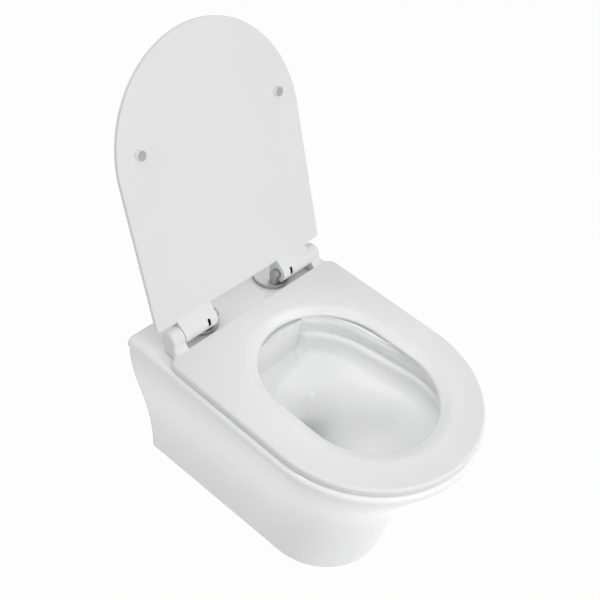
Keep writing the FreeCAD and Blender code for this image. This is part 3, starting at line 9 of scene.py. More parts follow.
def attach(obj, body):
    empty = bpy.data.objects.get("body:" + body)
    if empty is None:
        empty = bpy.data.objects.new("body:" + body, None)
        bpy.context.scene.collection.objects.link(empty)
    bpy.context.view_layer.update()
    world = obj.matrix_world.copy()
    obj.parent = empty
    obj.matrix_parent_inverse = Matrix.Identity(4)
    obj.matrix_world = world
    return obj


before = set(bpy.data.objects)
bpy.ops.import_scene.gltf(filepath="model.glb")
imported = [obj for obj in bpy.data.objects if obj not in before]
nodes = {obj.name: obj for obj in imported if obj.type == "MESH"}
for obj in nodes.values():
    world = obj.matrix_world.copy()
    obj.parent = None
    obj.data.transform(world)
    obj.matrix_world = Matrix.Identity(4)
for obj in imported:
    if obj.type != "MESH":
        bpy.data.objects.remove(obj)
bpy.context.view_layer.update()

# ---- studio --------------------------------------------------------------------------------
# A pale floor 90 mm below the hung pan and a white surround that is brighter overhead.  Broad
# lamps that no gloss shows light the piece, a spot fills the bowl, and narrow bars give the
# highlights.

WHITE = (1, 1, 1, 1)
FLOOR_HEIGHT = -0.32
FLOOR_SIDE = 12
FLOOR_PAINT = (0.55, 0.55, 0.55, 1)
FLOOR_ROUGHNESS = 0.9
FLOOR_GLOW = 0.97
SURROUND_LOW = 0.36
SURROUND_HIGH = 0.58
LOOK_AT = Vector((-0.12876, -0.25, 0.3132))
BAR_AIM = (0.05, -0.14, 0.0)
# Name, place, aim, width and height, power in watts, and whether gloss shows the lamp.
SOFTBOXES = (("overhead_lamp", (-0.3, -1.2, 2.3), LOOK_AT, 1.4, 1.4, 10.5, False),
             ("left_lamp", (-2.2, 0.2, 1.3), LOOK_AT, 1.2, 1.0, 9, False),
             ("front_lamp", (0.2, -2.5, 0.8), LOOK_AT, 1.4, 1.0, 25, False),
             ("rear_lamp", (0.0, 2.4, 0.45), LOOK_AT, 1.6, 0.8, 15, False),
             ("bar_lamp_left", (-1.0, -0.2, 1.6), LOOK_AT, 0.08, 0.5, 1.0, True),
             ("bar_lamp_right", (0.9, -0.3, 1.7), LOOK_AT, 0.08, 0.5, 1.0, True),
             ("bar_lamp_front", (-0.36, -1.85, 0.965), BAR_AIM, 0.05, 0.4, 0.8, True))
SPOT_PLACE = (-0.5, 0.1, 1.7)
SPOT_AIM = (0.03, -0.29, 0.0)
SPOT_POWER = 42
SPOT_ANGLE = math.radians(11.5)
SPOT_SOFT_EDGE = 0.7
SPOT_RADIUS = 0.12


def feed(tree, socket, value):
    """Gives an input another node's output, or a plain value."""
    if isinstance(value, bpy.types.NodeSocket):
        tree.links.new(value, socket)
    else:
        socket.default_value = value


def math_node(tree, operation, *values):
    """A Math node; each value is a socket or a number."""
    node = tree.nodes.new("ShaderNodeMath")
    node.operation = operation
    for socket, value in zip(node.inputs, values):
        feed(tree, socket, value)
    return node.outputs[0]


def split_axes(tree, vector):
    """The three axes of a vector, each by itself."""
    node = tree.nodes.new("ShaderNodeSeparateXYZ")
    tree.links.new(vector, node.inputs[0])
    return node.outputs


def map_range(tree, value, low, high, to_low, to_high):
    """A value that runs from low to high, made to run from to_low to to_high."""
    node = tree.nodes.new("ShaderNodeMapRange")
    for name, given in (("Value", value), ("From Min", low), ("From Max", high),
                        ("To Min", to_low), ("To Max", to_high)):
        feed(tree, node.inputs[name], given)
    return node.outputs["Result"]


def mix_shaders(tree, share, first, second):
    """Between two shaders, by a share from 0 to 1."""
    node = tree.nodes.new("ShaderNodeMixShader")
    for socket, source in zip(node.inputs, (share, first, second)):
        tree.links.new(source, socket)
    return node.outputs[0]


def straight_looks(tree):
    """1 where the lens, a mirror or glass looks, 0 where light is only gathered."""
    paths = tree.nodes.new("ShaderNodeLightPath").outputs
    lens_or_mirror = math_node(tree, "MAXIMUM", paths["Is Camera Ray"], paths["Is Glossy Ray"])
    return math_node(tree, "MAXIMUM", lens_or_mirror, paths["Is Transmission Ray"])


def hang_lamp(lamp, place, aim, in_gloss):
    """Hangs a lamp that faces a point, with or without a reflection of itself."""
    holder = bpy.data.objects.new(lamp.name, lamp)
    holder.location = place
    holder.rotation_euler = (Vector(aim) - Vector(place)).to_track_quat("-Z", "Y").to_euler()
    holder.visible_glossy = in_gloss
    bpy.context.scene.collection.objects.link(holder)


world = bpy.data.worlds.new("studio_surround")
bpy.context.scene.world = world
world.use_nodes = True
surround = world.node_tree
surround.nodes.clear()
seen = surround.nodes.new("ShaderNodeBackground")
gathered = surround.nodes.new("ShaderNodeBackground")
for glow in (seen, gathered):
    glow.inputs["Color"].default_value = WHITE
sky_direction = surround.nodes.new("ShaderNodeTexCoord")
upward = split_axes(surround, sky_direction.outputs["Generated"])["Z"]
sky_glow = map_range(surround, upward, 0, 1, SURROUND_LOW, SURROUND_HIGH)
surround.links.new(sky_glow, gathered.inputs["Strength"])
surround_mix = mix_shaders(surround, straight_looks(surround), gathered.outputs[0],
                           seen.outputs[0])
surround_out = surround.nodes.new("ShaderNodeOutputWorld")
surround.links.new(surround_mix, surround_out.inputs["Surface"])

bpy.ops.mesh.primitive_plane_add(size=FLOOR_SIDE, location=(0, 0, FLOOR_HEIGHT))
floor = bpy.context.object
floor.name = "studio_floor"
floor_material = bpy.data.materials.new("pale_floor")
floor_material.use_nodes = True
floor_tree = floor_material.node_tree
floor_paint = floor_tree.nodes["Principled BSDF"]
floor_paint.inputs["Base Color"].default_value = FLOOR_PAINT
floor_paint.inputs["Roughness"].default_value = FLOOR_ROUGHNESS
floor_glow = floor_tree.nodes.new("ShaderNodeEmission")
floor_share = math_node(floor_tree, "MULTIPLY", straight_looks(floor_tree), FLOOR_GLOW)
floor_mix = mix_shaders(floor_tree, floor_share, floor_paint.outputs[0], floor_glow.outputs[0])
floor_tree.links.new(floor_mix, floor_tree.nodes["Material Output"].inputs["Surface"])
floor.data.materials.append(floor_material)

for name, place, aim, width, height, power, in_gloss in SOFTBOXES:
    softbox = bpy.data.lights.new(name, "AREA")
    softbox.shape = "RECTANGLE"
    softbox.size = width
    softbox.size_y = height
    softbox.energy = power
    hang_lamp(softbox, place, aim, in_gloss)

bowl_lamp = bpy.data.lights.new("bowl_lamp", "SPOT")
bowl_lamp.energy = SPOT_POWER
bowl_lamp.spot_size = SPOT_ANGLE
bowl_lamp.spot_blend = SPOT_SOFT_EDGE
bowl_lamp.shadow_soft_size = SPOT_RADIUS
hang_lamp(bowl_lamp, SPOT_PLACE, SPOT_AIM, False)

# ---- camera --------------------------------------------------------------------------------
# Looks down from the left front, as the photograph does, and leans a little to one side.

VIEW_AZIMUTH = math.radians(-55.28)
VIEW_ELEVATION = math.radians(43.13)
VIEW_ROLL = math.radians(10.83)
VIEW_DISTANCE = 1.20876
LENS_MM = 59.5
SENSOR_MM = 36

backward = Vector((math.sin(VIEW_AZIMUTH) * math.cos(VIEW_ELEVATION),
                   -math.cos(VIEW_AZIMUTH) * math.cos(VIEW_ELEVATION),
                   math.sin(VIEW_ELEVATION)))
level_right = Vector((math.cos(VIEW_AZIMUTH), math.sin(VIEW_AZIMUTH), 0))
level_up = backward.cross(level_right)
right = math.cos(VIEW_ROLL) * level_right + math.sin(VIEW_ROLL) * level_up
up = math.cos(VIEW_ROLL) * level_up - math.sin(VIEW_ROLL) * level_right
camera_data = bpy.data.cameras.new("photo_camera")
camera_data.lens = LENS_MM
camera_data.sensor_width = SENSOR_MM
camera = bpy.data.objects.new("photo_camera", camera_data)
turn = Matrix((right, up, backward)).transposed().to_4x4()
camera.matrix_world = Matrix.Translation(LOOK_AT + VIEW_DISTANCE * backward) @ turn
bpy.context.scene.collection.objects.link(camera)
bpy.context.scene.camera = camera
bpy.context.scene.view_settings.view_transform = "Standard"

# ---- ceramic pan ---------------------------------------------------------------------------
# One slip-cast body of vitreous china, sprayed with white glaze and fired, so its gloss rolls
# a little.  The wall face and the hollow behind the skirt stay bare fired clay.

GLAZE_WHITE = (0.87, 0.872, 0.87, 1)
GLAZE_POOLED = (0.85, 0.855, 0.857, 1)
GLAZE_COAT_ROUGHNESS = 0.03
BARE_CLAY = (0.68, 0.65, 0.60, 1)
BARE_CLAY_ROUGHNESS = 0.85
# Height and half width of the skirt's outside, from its foot up to the rim.
SKIRT_HALF_WIDTHS = ((-0.230, 0.116), (-0.125, 0.132), (-0.042, 0.155), (0.023, 0.172),
                     (0.065, 0.177))
SKIRT_WALL = 0.0075
HOLLOW_TOP = 0.062
HOLLOW_FLOOR = -0.225
HOLLOW_END = -0.112
GLAZE_EDGE_DRIFT = 0.02
WALL_FACE = -0.0012
# Nearly all the values of a noise texture lie between these two; a cloud's edge is steeper.
NOISE_LOW = 0.3
NOISE_HIGH = 0.7
CLOUD_LOW = 0.35
CLOUD_HIGH = 0.65


def mix_colours(tree, share, first, second):
    """Between two colours, each a socket or four numbers."""
    node = tree.nodes.new("ShaderNodeMix")
    node.data_type = "RGBA"
    tree.links.new(share, node.inputs["Factor"])
    colours = [socket for socket in node.inputs if socket.type == "RGBA"]
    feed(tree, colours[0], first)
    feed(tree, colours[1], second)
    return next(socket for socket in node.outputs if socket.type == "RGBA")


def surface_texture_group():
    """Slow swell, fine grain and wide clouds, as moulds and firing leave them."""
    group = bpy.data.node_groups.new("surface_texture", "ShaderNodeTree")
    group.interface.new_socket("Vector", in_out="INPUT", socket_type="NodeSocketVector")
    for name in ("Swell Scale", "Grain Scale", "Grain Share", "Cloud Scale"):
        group.interface.new_socket(name, in_out="INPUT", socket_type="NodeSocketFloat")
    for name in ("Height", "Grain", "Cloud"):
        group.interface.new_socket(name, in_out="OUTPUT", socket_type="NodeSocketFloat")
    given = group.nodes.new("NodeGroupInput").outputs
    leave = group.nodes.new("NodeGroupOutput").inputs
    noises = []
    for scale_name, detail in (("Swell Scale", 1.0), ("Grain Scale", 3.0), ("Cloud Scale", 2.0)):
        noise = group.nodes.new("ShaderNodeTexNoise")
        noise.inputs["Detail"].default_value = detail
        group.links.new(given["Vector"], noise.inputs["Vector"])
        group.links.new(given[scale_name], noise.inputs["Scale"])
        noises.append(noise.outputs[0])
    swell, grain, cloud = noises
    fine = math_node(group, "MULTIPLY", grain, given["Grain Share"])
    rest = math_node(group, "SUBTRACT", 1.0, given["Grain Share"])
    broad = math_node(group, "MULTIPLY", swell, rest)
    group.links.new(math_node(group, "ADD", broad, fine), leave["Height"])
    group.links.new(grain, leave["Grain"])
    group.links.new(map_range(group, cloud, CLOUD_LOW, CLOUD_HIGH, 0, 1), leave["Cloud"])
    return group


surface_texture = surface_texture_group()


def new_finish(name):
    """A material with its tree, its shader and the place on the piece, in Object coordinates."""
    material = bpy.data.materials.new(name)
    material.use_nodes = True
    tree = material.node_tree
    place = tree.nodes.new("ShaderNodeTexCoord").outputs["Object"]
    return SimpleNamespace(material=material, tree=tree, place=place,
                           shader=tree.nodes["Principled BSDF"].inputs)


def place_texture(finish, swell, grain, grain_share, cloud):
    """Puts the surface texture in a finish, with its own scales, and gives its outputs."""
    texture = finish.tree.nodes.new("ShaderNodeGroup")
    texture.node_tree = surface_texture
    for name, value in (("Vector", finish.place), ("Swell Scale", swell), ("Grain Scale", grain),
                        ("Grain Share", grain_share), ("Cloud Scale", cloud)):
        feed(finish.tree, texture.inputs[name], value)
    return texture.outputs


def add_bump(finish, height, depth):
    """Relief of the given depth in metres."""
    bump = finish.tree.nodes.new("ShaderNodeBump")
    bump.inputs["Strength"].default_value = 1.0
    bump.inputs["Distance"].default_value = depth
    finish.tree.links.new(height, bump.inputs["Height"])
    finish.tree.links.new(bump.outputs["Normal"], finish.shader["Normal"])


def clouded_finish(name, swell, grain, grain_share, cloud, light, dark, roughness, depth):
    """A finish whose tone drifts in clouds, and whose gloss follows its grain."""
    finish = new_finish(name)
    finish.texture = place_texture(finish, swell, grain, grain_share, cloud)
    tone = mix_colours(finish.tree, finish.texture["Cloud"], light, dark)
    gloss = map_range(finish.tree, finish.texture["Grain"], NOISE_LOW, NOISE_HIGH, *roughness)
    finish.tree.links.new(tone, finish.shader["Base Color"])
    finish.tree.links.new(gloss, finish.shader["Roughness"])
    add_bump(finish, finish.texture["Height"], depth)
    return finish


def paint_over(finish, share, colour):
    """Puts a colour over what already feeds the base colour, where share is 1."""
    base = finish.shader["Base Color"]
    below = base.links[0].from_socket
    finish.tree.links.new(mix_colours(finish.tree, share, below, colour), base)


def dress(finish, *names):
    """Gives CAD nodes a finish."""
    for name in names:
        for place in nodes[name].material_slots:
            place.material = finish.material


glaze = clouded_finish("white_glaze", swell=45, grain=1400, grain_share=0.06, cloud=7,
                       light=GLAZE_WHITE, dark=GLAZE_POOLED, roughness=(0.07, 0.13),
                       depth=0.00006)
glaze_tree = glaze.tree
across, into_wall, upward = split_axes(glaze_tree, glaze.place)

skirt_foot, skirt_top = SKIRT_HALF_WIDTHS[0][0], SKIRT_HALF_WIDTHS[-1][0]
skirt_ramp = glaze_tree.nodes.new("ShaderNodeValToRGB")
glaze_tree.links.new(map_range(glaze_tree, upward, skirt_foot, skirt_top, 0, 1),
                     skirt_ramp.inputs[0])
stops = skirt_ramp.color_ramp.elements
for height, half_width in SKIRT_HALF_WIDTHS[1:-1]:
    stops.new((height - skirt_foot) / (skirt_top - skirt_foot))
for stop, (height, half_width) in zip(stops, SKIRT_HALF_WIDTHS):
    stop.color = (half_width, half_width, half_width, 1)

inner_line = math_node(glaze_tree, "SUBTRACT", skirt_ramp.outputs["Color"], SKIRT_WALL)
inside_skirt = math_node(glaze_tree, "LESS_THAN", math_node(glaze_tree, "ABSOLUTE", across),
                         inner_line)
below_deck = math_node(glaze_tree, "LESS_THAN", upward, HOLLOW_TOP)
above_floor = math_node(glaze_tree, "GREATER_THAN", upward, HOLLOW_FLOOR)
drift = math_node(glaze_tree, "MULTIPLY", glaze.texture["Cloud"], GLAZE_EDGE_DRIFT)
near_wall = math_node(glaze_tree, "GREATER_THAN",
                      math_node(glaze_tree, "SUBTRACT", into_wall, drift), HOLLOW_END)
in_hollow = math_node(glaze_tree, "MULTIPLY",
                      math_node(glaze_tree, "MULTIPLY", inside_skirt, near_wall),
                      math_node(glaze_tree, "MULTIPLY", below_deck, above_floor))
on_wall_face = math_node(glaze_tree, "GREATER_THAN", into_wall, WALL_FACE)
bare = math_node(glaze_tree, "MAXIMUM", in_hollow, on_wall_face)

paint_over(glaze, bare, BARE_CLAY)
glaze_gloss = glaze.shader["Roughness"].links[0].from_socket
clay_roughness = math_node(glaze_tree, "MULTIPLY", bare, BARE_CLAY_ROUGHNESS)
glaze_tree.links.new(math_node(glaze_tree, "MAXIMUM", glaze_gloss, clay_roughness),
                     glaze.shader["Roughness"])
glaze_tree.links.new(math_node(glaze_tree, "SUBTRACT", 1.0, bare), glaze.shader["Coat Weight"])
glaze.shader["Coat Roughness"].default_value = GLAZE_COAT_ROUGHNESS
dress(glaze, "pan")

# ---- flush ledge ---------------------------------------------------------------------------
# The lip and the ledge of the open flush channel, pressed into the same clay as the bowl.  The
# water leaves the splitter on both sides and runs round the bowl between them.

# Depth below the rim, and how far the surface stands in from the bowl's wall: first the face
# that shows, then the back, which is buried in the wall.
LEDGE_FACE = ((0.003, -0.0004), (0.006, 0.0006), (0.010, 0.0022), (0.014, 0.0032),
              (0.018, 0.0028), (0.022, 0.0016), (0.027, 0.0007), (0.034, 0.0005),
              (0.038, 0.0011), (0.0405, 0.0032), (0.0420, 0.0056), (0.0445, 0.0074),
              (0.048, 0.0080), (0.053, 0.0076), (0.060, 0.0063), (0.068, 0.0045),
              (0.076, 0.0030), (0.084, 0.0018), (0.092, 0.0009), (0.100, 0.0003),
              (0.107, -0.0003))
LEDGE_BACK = ((0.100, -0.0024), (0.080, -0.0030), (0.062, -0.0030), (0.044, -0.0030),
              (0.024, -0.0030), (0.010, -0.0024))
LEDGE_SIZES = {"Pan": nodes["pan"], "Bowl Middle": (0.0, -0.27, 0.0), "Rim Top": 0.08,
               "First Angle": math.radians(70.4), "Last Angle": math.radians(-250.4),
               "Steps": 190, "Run Out Steps": 5.0, "Finish": glaze.material}
# An edge takes the mean of its two points' marks, so it is marked at both only above this.
BOTH_POINTS_MARKED = 0.75


def combine_axes(tree, **values):
    """A vector from the axes that are given; the others stay 0."""
    node = tree.nodes.new("ShaderNodeCombineXYZ")
    for axis, value in values.items():
        feed(tree, node.inputs[axis], value)
    return node.outputs[0]


def vector_math(tree, operation, *values):
    """A Vector Math node; each value is a socket or three numbers."""
    node = tree.nodes.new("ShaderNodeVectorMath")
    node.operation = operation
    for socket, value in zip(node.inputs, values):
        feed(tree, socket, value)
    return node.outputs


def remember(tree, geometry, kind, value, name):
    """Keeps a value on the points of a geometry, to be read after the sweep."""
    node = tree.nodes.new("GeometryNodeCaptureAttribute")
    node.capture_items.new(kind, name)
    tree.links.new(geometry, node.inputs["Geometry"])
    tree.links.new(value, node.inputs[name])
    return node.outputs["Geometry"], node.outputs[name]


def ledge_sweep_tree():
    """Sweeps the ledge's outline round the bowl and lays each point by the pan's own wall.

    The outline's X is the depth below the rim and Y the stand from the wall; Z marks with 1
    the two ends of the face, where the surface turns sharply into the wall.
    """
    tree = bpy.data.node_groups.new("ledge_sweep", "GeometryNodeTree")
    for name, kind in (("Outline", "Geometry"), ("Pan", "Object"), ("Bowl Middle", "Vector"),
                       ("Rim Top", "Float"), ("First Angle", "Float"), ("Last Angle", "Float"),
                       ("Steps", "Int"), ("Run Out Steps", "Float"), ("Finish", "Material")):
        tree.interface.new_socket(name, in_out="INPUT", socket_type="NodeSocket" + kind)
    tree.interface.new_socket("Ledge", in_out="OUTPUT", socket_type="NodeSocketGeometry")
    given = tree.nodes.new("NodeGroupInput").outputs

    position = tree.nodes.new("GeometryNodeInputPosition").outputs[0]
    outline, drawn = remember(tree, given["Outline"], "VECTOR", position, "Drawn")
    ring_curve = tree.nodes.new("GeometryNodeMeshToCurve")
    tree.links.new(outline, ring_curve.inputs["Mesh"])
    path = tree.nodes.new("GeometryNodeResampleCurve")
    tree.links.new(tree.nodes.new("GeometryNodeCurvePrimitiveLine").outputs["Curve"],
                   path.inputs["Curve"])
    tree.links.new(math_node(tree, "ADD", given["Steps"], 1), path.inputs["Count"])
    number = tree.nodes.new("GeometryNodeInputIndex").outputs[0]
    counted_path, step = remember(tree, path.outputs["Curve"], "FLOAT", number, "Step")
    sweep = tree.nodes.new("GeometryNodeCurveToMesh")
    sweep.inputs["Fill Caps"].default_value = True
    tree.links.new(counted_path, sweep.inputs["Curve"])
    tree.links.new(ring_curve.outputs["Curve"], sweep.inputs["Profile Curve"])

    depth, stand, mark = split_axes(tree, drawn)
    whole_turn = math_node(tree, "SUBTRACT", given["Last Angle"], given["First Angle"])
    turned = math_node(tree, "MULTIPLY", whole_turn,
                       math_node(tree, "DIVIDE", step, given["Steps"]))
    angle = math_node(tree, "ADD", given["First Angle"], turned)
    outward = combine_axes(tree, X=math_node(tree, "COSINE", angle),
                           Y=math_node(tree, "SINE", angle))
    level = combine_axes(tree, Z=math_node(tree, "SUBTRACT", given["Rim Top"], depth))
    middle = vector_math(tree, "ADD", given["Bowl Middle"], level)["Vector"]

    steps_to_end = math_node(tree, "MINIMUM", step,
                             math_node(tree, "SUBTRACT", given["Steps"], step))
    run_out = math_node(tree, "DIVIDE", math_node(tree, "ADD", steps_to_end, 1.0),
                        given["Run Out Steps"])
    proud = math_node(tree, "MULTIPLY", math_node(tree, "MAXIMUM", stand, 0.0),
                      math_node(tree, "MINIMUM", run_out, 1.0))
    faded_stand = math_node(tree, "ADD", proud, math_node(tree, "MINIMUM", stand, 0.0))

    pan = tree.nodes.new("GeometryNodeObjectInfo")
    tree.links.new(given["Pan"], pan.inputs["Object"])
    to_wall = tree.nodes.new("GeometryNodeRaycast")
    tree.links.new(pan.outputs["Geometry"], to_wall.inputs["Target Geometry"])
    tree.links.new(middle, to_wall.inputs["Source Position"])
    tree.links.new(outward, to_wall.inputs["Ray Direction"])
    reach = math_node(tree, "SUBTRACT", to_wall.outputs["Hit Distance"], faded_stand)
    by_wall = vector_math(tree, "MULTIPLY_ADD", outward, reach, middle)["Vector"]
    laid = tree.nodes.new("GeometryNodeSetPosition")
    tree.links.new(sweep.outputs["Mesh"], laid.inputs["Geometry"])
    tree.links.new(by_wall, laid.inputs["Position"])

    sharp = tree.nodes.new("GeometryNodeStoreNamedAttribute")
    sharp.data_type = "BOOLEAN"
    sharp.domain = "EDGE"
    sharp.inputs["Name"].default_value = "sharp_edge"
    tree.links.new(laid.outputs["Geometry"], sharp.inputs["Geometry"])
    tree.links.new(math_node(tree, "GREATER_THAN", mark, BOTH_POINTS_MARKED),
                   sharp.inputs["Value"])
    real = tree.nodes.new("GeometryNodeRealizeInstances")
    tree.links.new(sharp.outputs["Geometry"], real.inputs["Geometry"])
    finished = tree.nodes.new("GeometryNodeSetMaterial")
    tree.links.new(real.outputs["Geometry"], finished.inputs["Geometry"])
    tree.links.new(given["Finish"], finished.inputs["Material"])
    leave = tree.nodes.new("NodeGroupOutput")
    tree.links.new(finished.outputs["Geometry"], leave.inputs["Ledge"])
    return tree


face_ends = (LEDGE_FACE[0], LEDGE_FACE[-1])
outline = bmesh.new()
outline_points = [outline.verts.new((depth, stand, 1 if (depth, stand) in face_ends else 0))
                  for depth, stand in LEDGE_FACE + LEDGE_BACK]
for point, following in zip(outline_points, outline_points[1:] + outline_points[:1]):
    outline.edges.new((point, following))
ledge_outline = bpy.data.meshes.new("ledge_outline")
outline.to_mesh(ledge_outline)
outline.free()
flush_ledge = bpy.data.objects.new("flush_ledge", ledge_outline)
bpy.context.scene.collection.objects.link(flush_ledge)
ledge_sweep = flush_ledge.modifiers.new("ledge_sweep", "NODES")
ledge_sweep.node_group = ledge_sweep_tree()
for socket in ledge_sweep.node_group.interface.items_tree:
    if socket.name in LEDGE_SIZES:
        ledge_sweep[socket.identifier] = LEDGE_SIZES[socket.name]
swept_ledge = flush_ledge.evaluated_get(bpy.context.evaluated_depsgraph_get())
ledge_mesh = bpy.data.meshes.new_from_object(swept_ledge)
flush_ledge.modifiers.clear()
flush_ledge.data = ledge_mesh
ledge_mesh.name = "flush_ledge"
bpy.data.meshes.remove(ledge_outline)
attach(flush_ledge, "pan")

# ---- flush splitter ------------------------------------------------------------------------
# A white polypropylene cover on the bowl's back wall, with a satin face and a faint grain
# from its mould.

satin = clouded_finish("satin_white_moulding", swell=90, grain=2600, grain_share=0.5, cloud=20,
                       light=(0.79, 0.79, 0.785, 1), dark=(0.76, 0.765, 0.765, 1),
                       roughness=(0.32, 0.42), depth=0.00004)
dress(satin, "flush_splitter")

# ---- stud sleeves and grub screws ----------------------------------------------------------
# Zinc die castings that slide over the wall studs, and the plated screws that lock them; the
# plating has a dull spangle.

ZINC_LIGHT = (0.50, 0.51, 0.53, 1)
ZINC_DARK = (0.38, 0.39, 0.41, 1)
ZINC_ROUGHNESS = (0.34, 0.5)
ZINC_RELIEF = 0.00008
SPANGLE_SCALE = 420

zinc = new_finish("zinc_plating")
zinc_texture = place_texture(zinc, swell=120, grain=1800, grain_share=0.6, cloud=40)
spangle = zinc.tree.nodes.new("ShaderNodeTexVoronoi")
spangle.inputs["Scale"].default_value = SPANGLE_SCALE
zinc.tree.links.new(zinc.place, spangle.inputs["Vector"])
spangle_tone = map_range(zinc.tree, spangle.outputs["Distance"], 0, 1, 0, 1)
zinc.tree.links.new(mix_colours(zinc.tree, spangle_tone, ZINC_LIGHT, ZINC_DARK),
                    zinc.shader["Base Color"])
zinc.tree.links.new(map_range(zinc.tree, zinc_texture["Cloud"], 0, 1, *ZINC_ROUGHNESS),
                    zinc.shader["Roughness"])
zinc.shader["Metallic"].default_value = 1.0
add_bump(zinc, zinc_texture["Height"], ZINC_RELIEF)
dress(zinc, "stud_sleeve_right", "stud_sleeve_left", "grub_screw_right", "grub_screw_left")

# ---- inlet seal and fixing plugs -----------------------------------------------------------
# Black rubber, moulded and slightly dusty with release powder: the ring round the flush pipe
# and the plugs that swell under the deck.

black = clouded_finish("black_rubber", swell=150, grain=2200, grain_share=0.7, cloud=30,
                       light=(0.022, 0.022, 0.023, 1), dark=(0.045, 0.045, 0.044, 1),
                       roughness=(0.55, 0.72), depth=0.00012)
dress(black, "inlet_seal", "rubber_plug_right", "rubber_plug_left")

# ---- seat fixings --------------------------------------------------------------------------
# A steel bolt on each side draws a brass cone nut up into its rubber plug, and a clear soft
# gasket lies between the steel and the glaze.

STEEL_LIGHT = (0.50, 0.50, 0.50, 1)
STEEL_DARK = (0.40, 0.40, 0.405, 1)
BRASS_LIGHT = (0.64, 0.47, 0.20, 1)
BRASS_DARK = (0.52, 0.37, 0.16, 1)
BRASS_ROUGHNESS = (0.22, 0.40)
BRASS_RELIEF = 0.00003


def tool_lines_group():
    """Fine lines: noise drawn out along the direction that has the smallest scale."""
    group = bpy.data.node_groups.new("tool_lines", "ShaderNodeTree")
    for name in ("Vector", "Line Scale"):
        group.interface.new_socket(name, in_out="INPUT", socket_type="NodeSocketVector")
    group.interface.new_socket("Lines", in_out="OUTPUT", socket_type="NodeSocketFloat")
    given = group.nodes.new("NodeGroupInput").outputs
    leave = group.nodes.new("NodeGroupOutput").inputs
    stretch = group.nodes.new("ShaderNodeMapping")
    group.links.new(given["Vector"], stretch.inputs["Vector"])
    group.links.new(given["Line Scale"], stretch.inputs["Scale"])
    noise = group.nodes.new("ShaderNodeTexNoise")
    noise.inputs["Scale"].default_value = 1.0
    noise.inputs["Detail"].default_value = 4.0
    group.links.new(stretch.outputs[0], noise.inputs["Vector"])
    group.links.new(map_range(group, noise.outputs[0], NOISE_LOW, NOISE_HIGH, 0, 1),
                    leave["Lines"])
    return group


tool_lines = tool_lines_group()


def place_lines(finish, scale):
    """Puts the tool lines in a finish, with their own scale on each axis."""
    lines = finish.tree.nodes.new("ShaderNodeGroup")
    lines.node_tree = tool_lines
    feed(finish.tree, lines.inputs["Vector"], finish.place)
    feed(finish.tree, lines.inputs["Line Scale"], scale)
    return lines.outputs["Lines"]


def tooled_steel(finish, lines, light, dark, roughness, depth):
    """Steel whose tone, gloss and relief all follow the lines that its tool left."""
    tree = finish.tree
    tree.links.new(mix_colours(tree, lines, light, dark), finish.shader["Base Color"])
    tree.links.new(map_range(tree, lines, 0, 1, *roughness), finish.shader["Roughness"])
    finish.shader["Metallic"].default_value = 1.0
    add_bump(finish, lines, depth)


bright = new_finish("bright_steel")
tooled_steel(bright, place_lines(bright, (2600, 40, 40)), STEEL_LIGHT, STEEL_DARK,
             roughness=(0.16, 0.28), depth=0.00001)
dress(bright, "hinge_bolt_right", "hinge_bolt_left")

brass = new_finish("turned_brass")
brass_texture = place_texture(brass, swell=160, grain=1800, grain_share=0.5, cloud=70)
brass.tree.links.new(mix_colours(brass.tree, brass_texture["Cloud"], BRASS_LIGHT, BRASS_DARK),
                     brass.shader["Base Color"])
brass_rings = place_lines(brass, (60, 60, 2400))
brass.tree.links.new(map_range(brass.tree, brass_rings, 0, 1, *BRASS_ROUGHNESS),
                     brass.shader["Roughness"])
brass.shader["Metallic"].default_value = 1.0
add_bump(brass, brass_texture["Height"], BRASS_RELIEF)
dress(brass, "cone_nut_right", "cone_nut_left")

soft = clouded_finish("soft_clear_gasket", swell=120, grain=1500, grain_share=0.5, cloud=30,
                      light=(0.70, 0.70, 0.69, 1), dark=(0.62, 0.62, 0.61, 1),
                      roughness=(0.38, 0.52), depth=0.00005)
dress(soft, "hinge_gasket_right", "hinge_gasket_left")

# ---- hinge posts ---------------------------------------------------------------------------
# Stainless steel, ground upright on the neck and satin all over; each carries its side's
# hinge pin in a round head.

ground = new_finish("ground_steel")
tooled_steel(ground, place_lines(ground, (3200, 3200, 60)), STEEL_LIGHT, STEEL_DARK,
             roughness=(0.26, 0.38), depth=0.000012)
dress(ground, "hinge_post_right", "hinge_post_left")

# ---- hinge covers --------------------------------------------------------------------------
# Thin spun caps of satin stainless steel with a darker bevel; the brushing runs round the cap,
# so its lines are rings about the fixing hole on each side.

COVER_CENTRE_X = 0.0785
COVER_CENTRE_Y = -0.042
COVER_FLAT_RADIUS = 0.0283
COVER_LIGHT = (0.66, 0.66, 0.66, 1)
COVER_DARK = (0.54, 0.54, 0.545, 1)
COVER_BEVEL = (0.40, 0.40, 0.405, 1)
RING_SCALE = 2600
RING_DETAIL = 3.0

spun = new_finish("spun_steel")
across, into_wall, upward = split_axes(spun.tree, spun.place)
from_middle = math_node(spun.tree, "ABSOLUTE", across)
from_centre = combine_axes(spun.tree,
                           X=math_node(spun.tree, "SUBTRACT", from_middle, COVER_CENTRE_X),
                           Y=math_node(spun.tree, "SUBTRACT", into_wall, COVER_CENTRE_Y))
ring_radius = vector_math(spun.tree, "LENGTH", from_centre)["Value"]
ring_noise = spun.tree.nodes.new("ShaderNodeTexNoise")
ring_noise.noise_dimensions = "1D"
ring_noise.inputs["Scale"].default_value = RING_SCALE
ring_noise.inputs["Detail"].default_value = RING_DETAIL
spun.tree.links.new(ring_radius, ring_noise.inputs["W"])
rings = map_range(spun.tree, ring_noise.outputs[0], NOISE_LOW, NOISE_HIGH, 0, 1)
tooled_steel(spun, rings, COVER_LIGHT, COVER_DARK, roughness=(0.28, 0.40), depth=0.000012)
paint_over(spun, math_node(spun.tree, "GREATER_THAN", ring_radius, COVER_FLAT_RADIUS),
           COVER_BEVEL)
dress(spun, "hinge_cover_right", "hinge_cover_left")

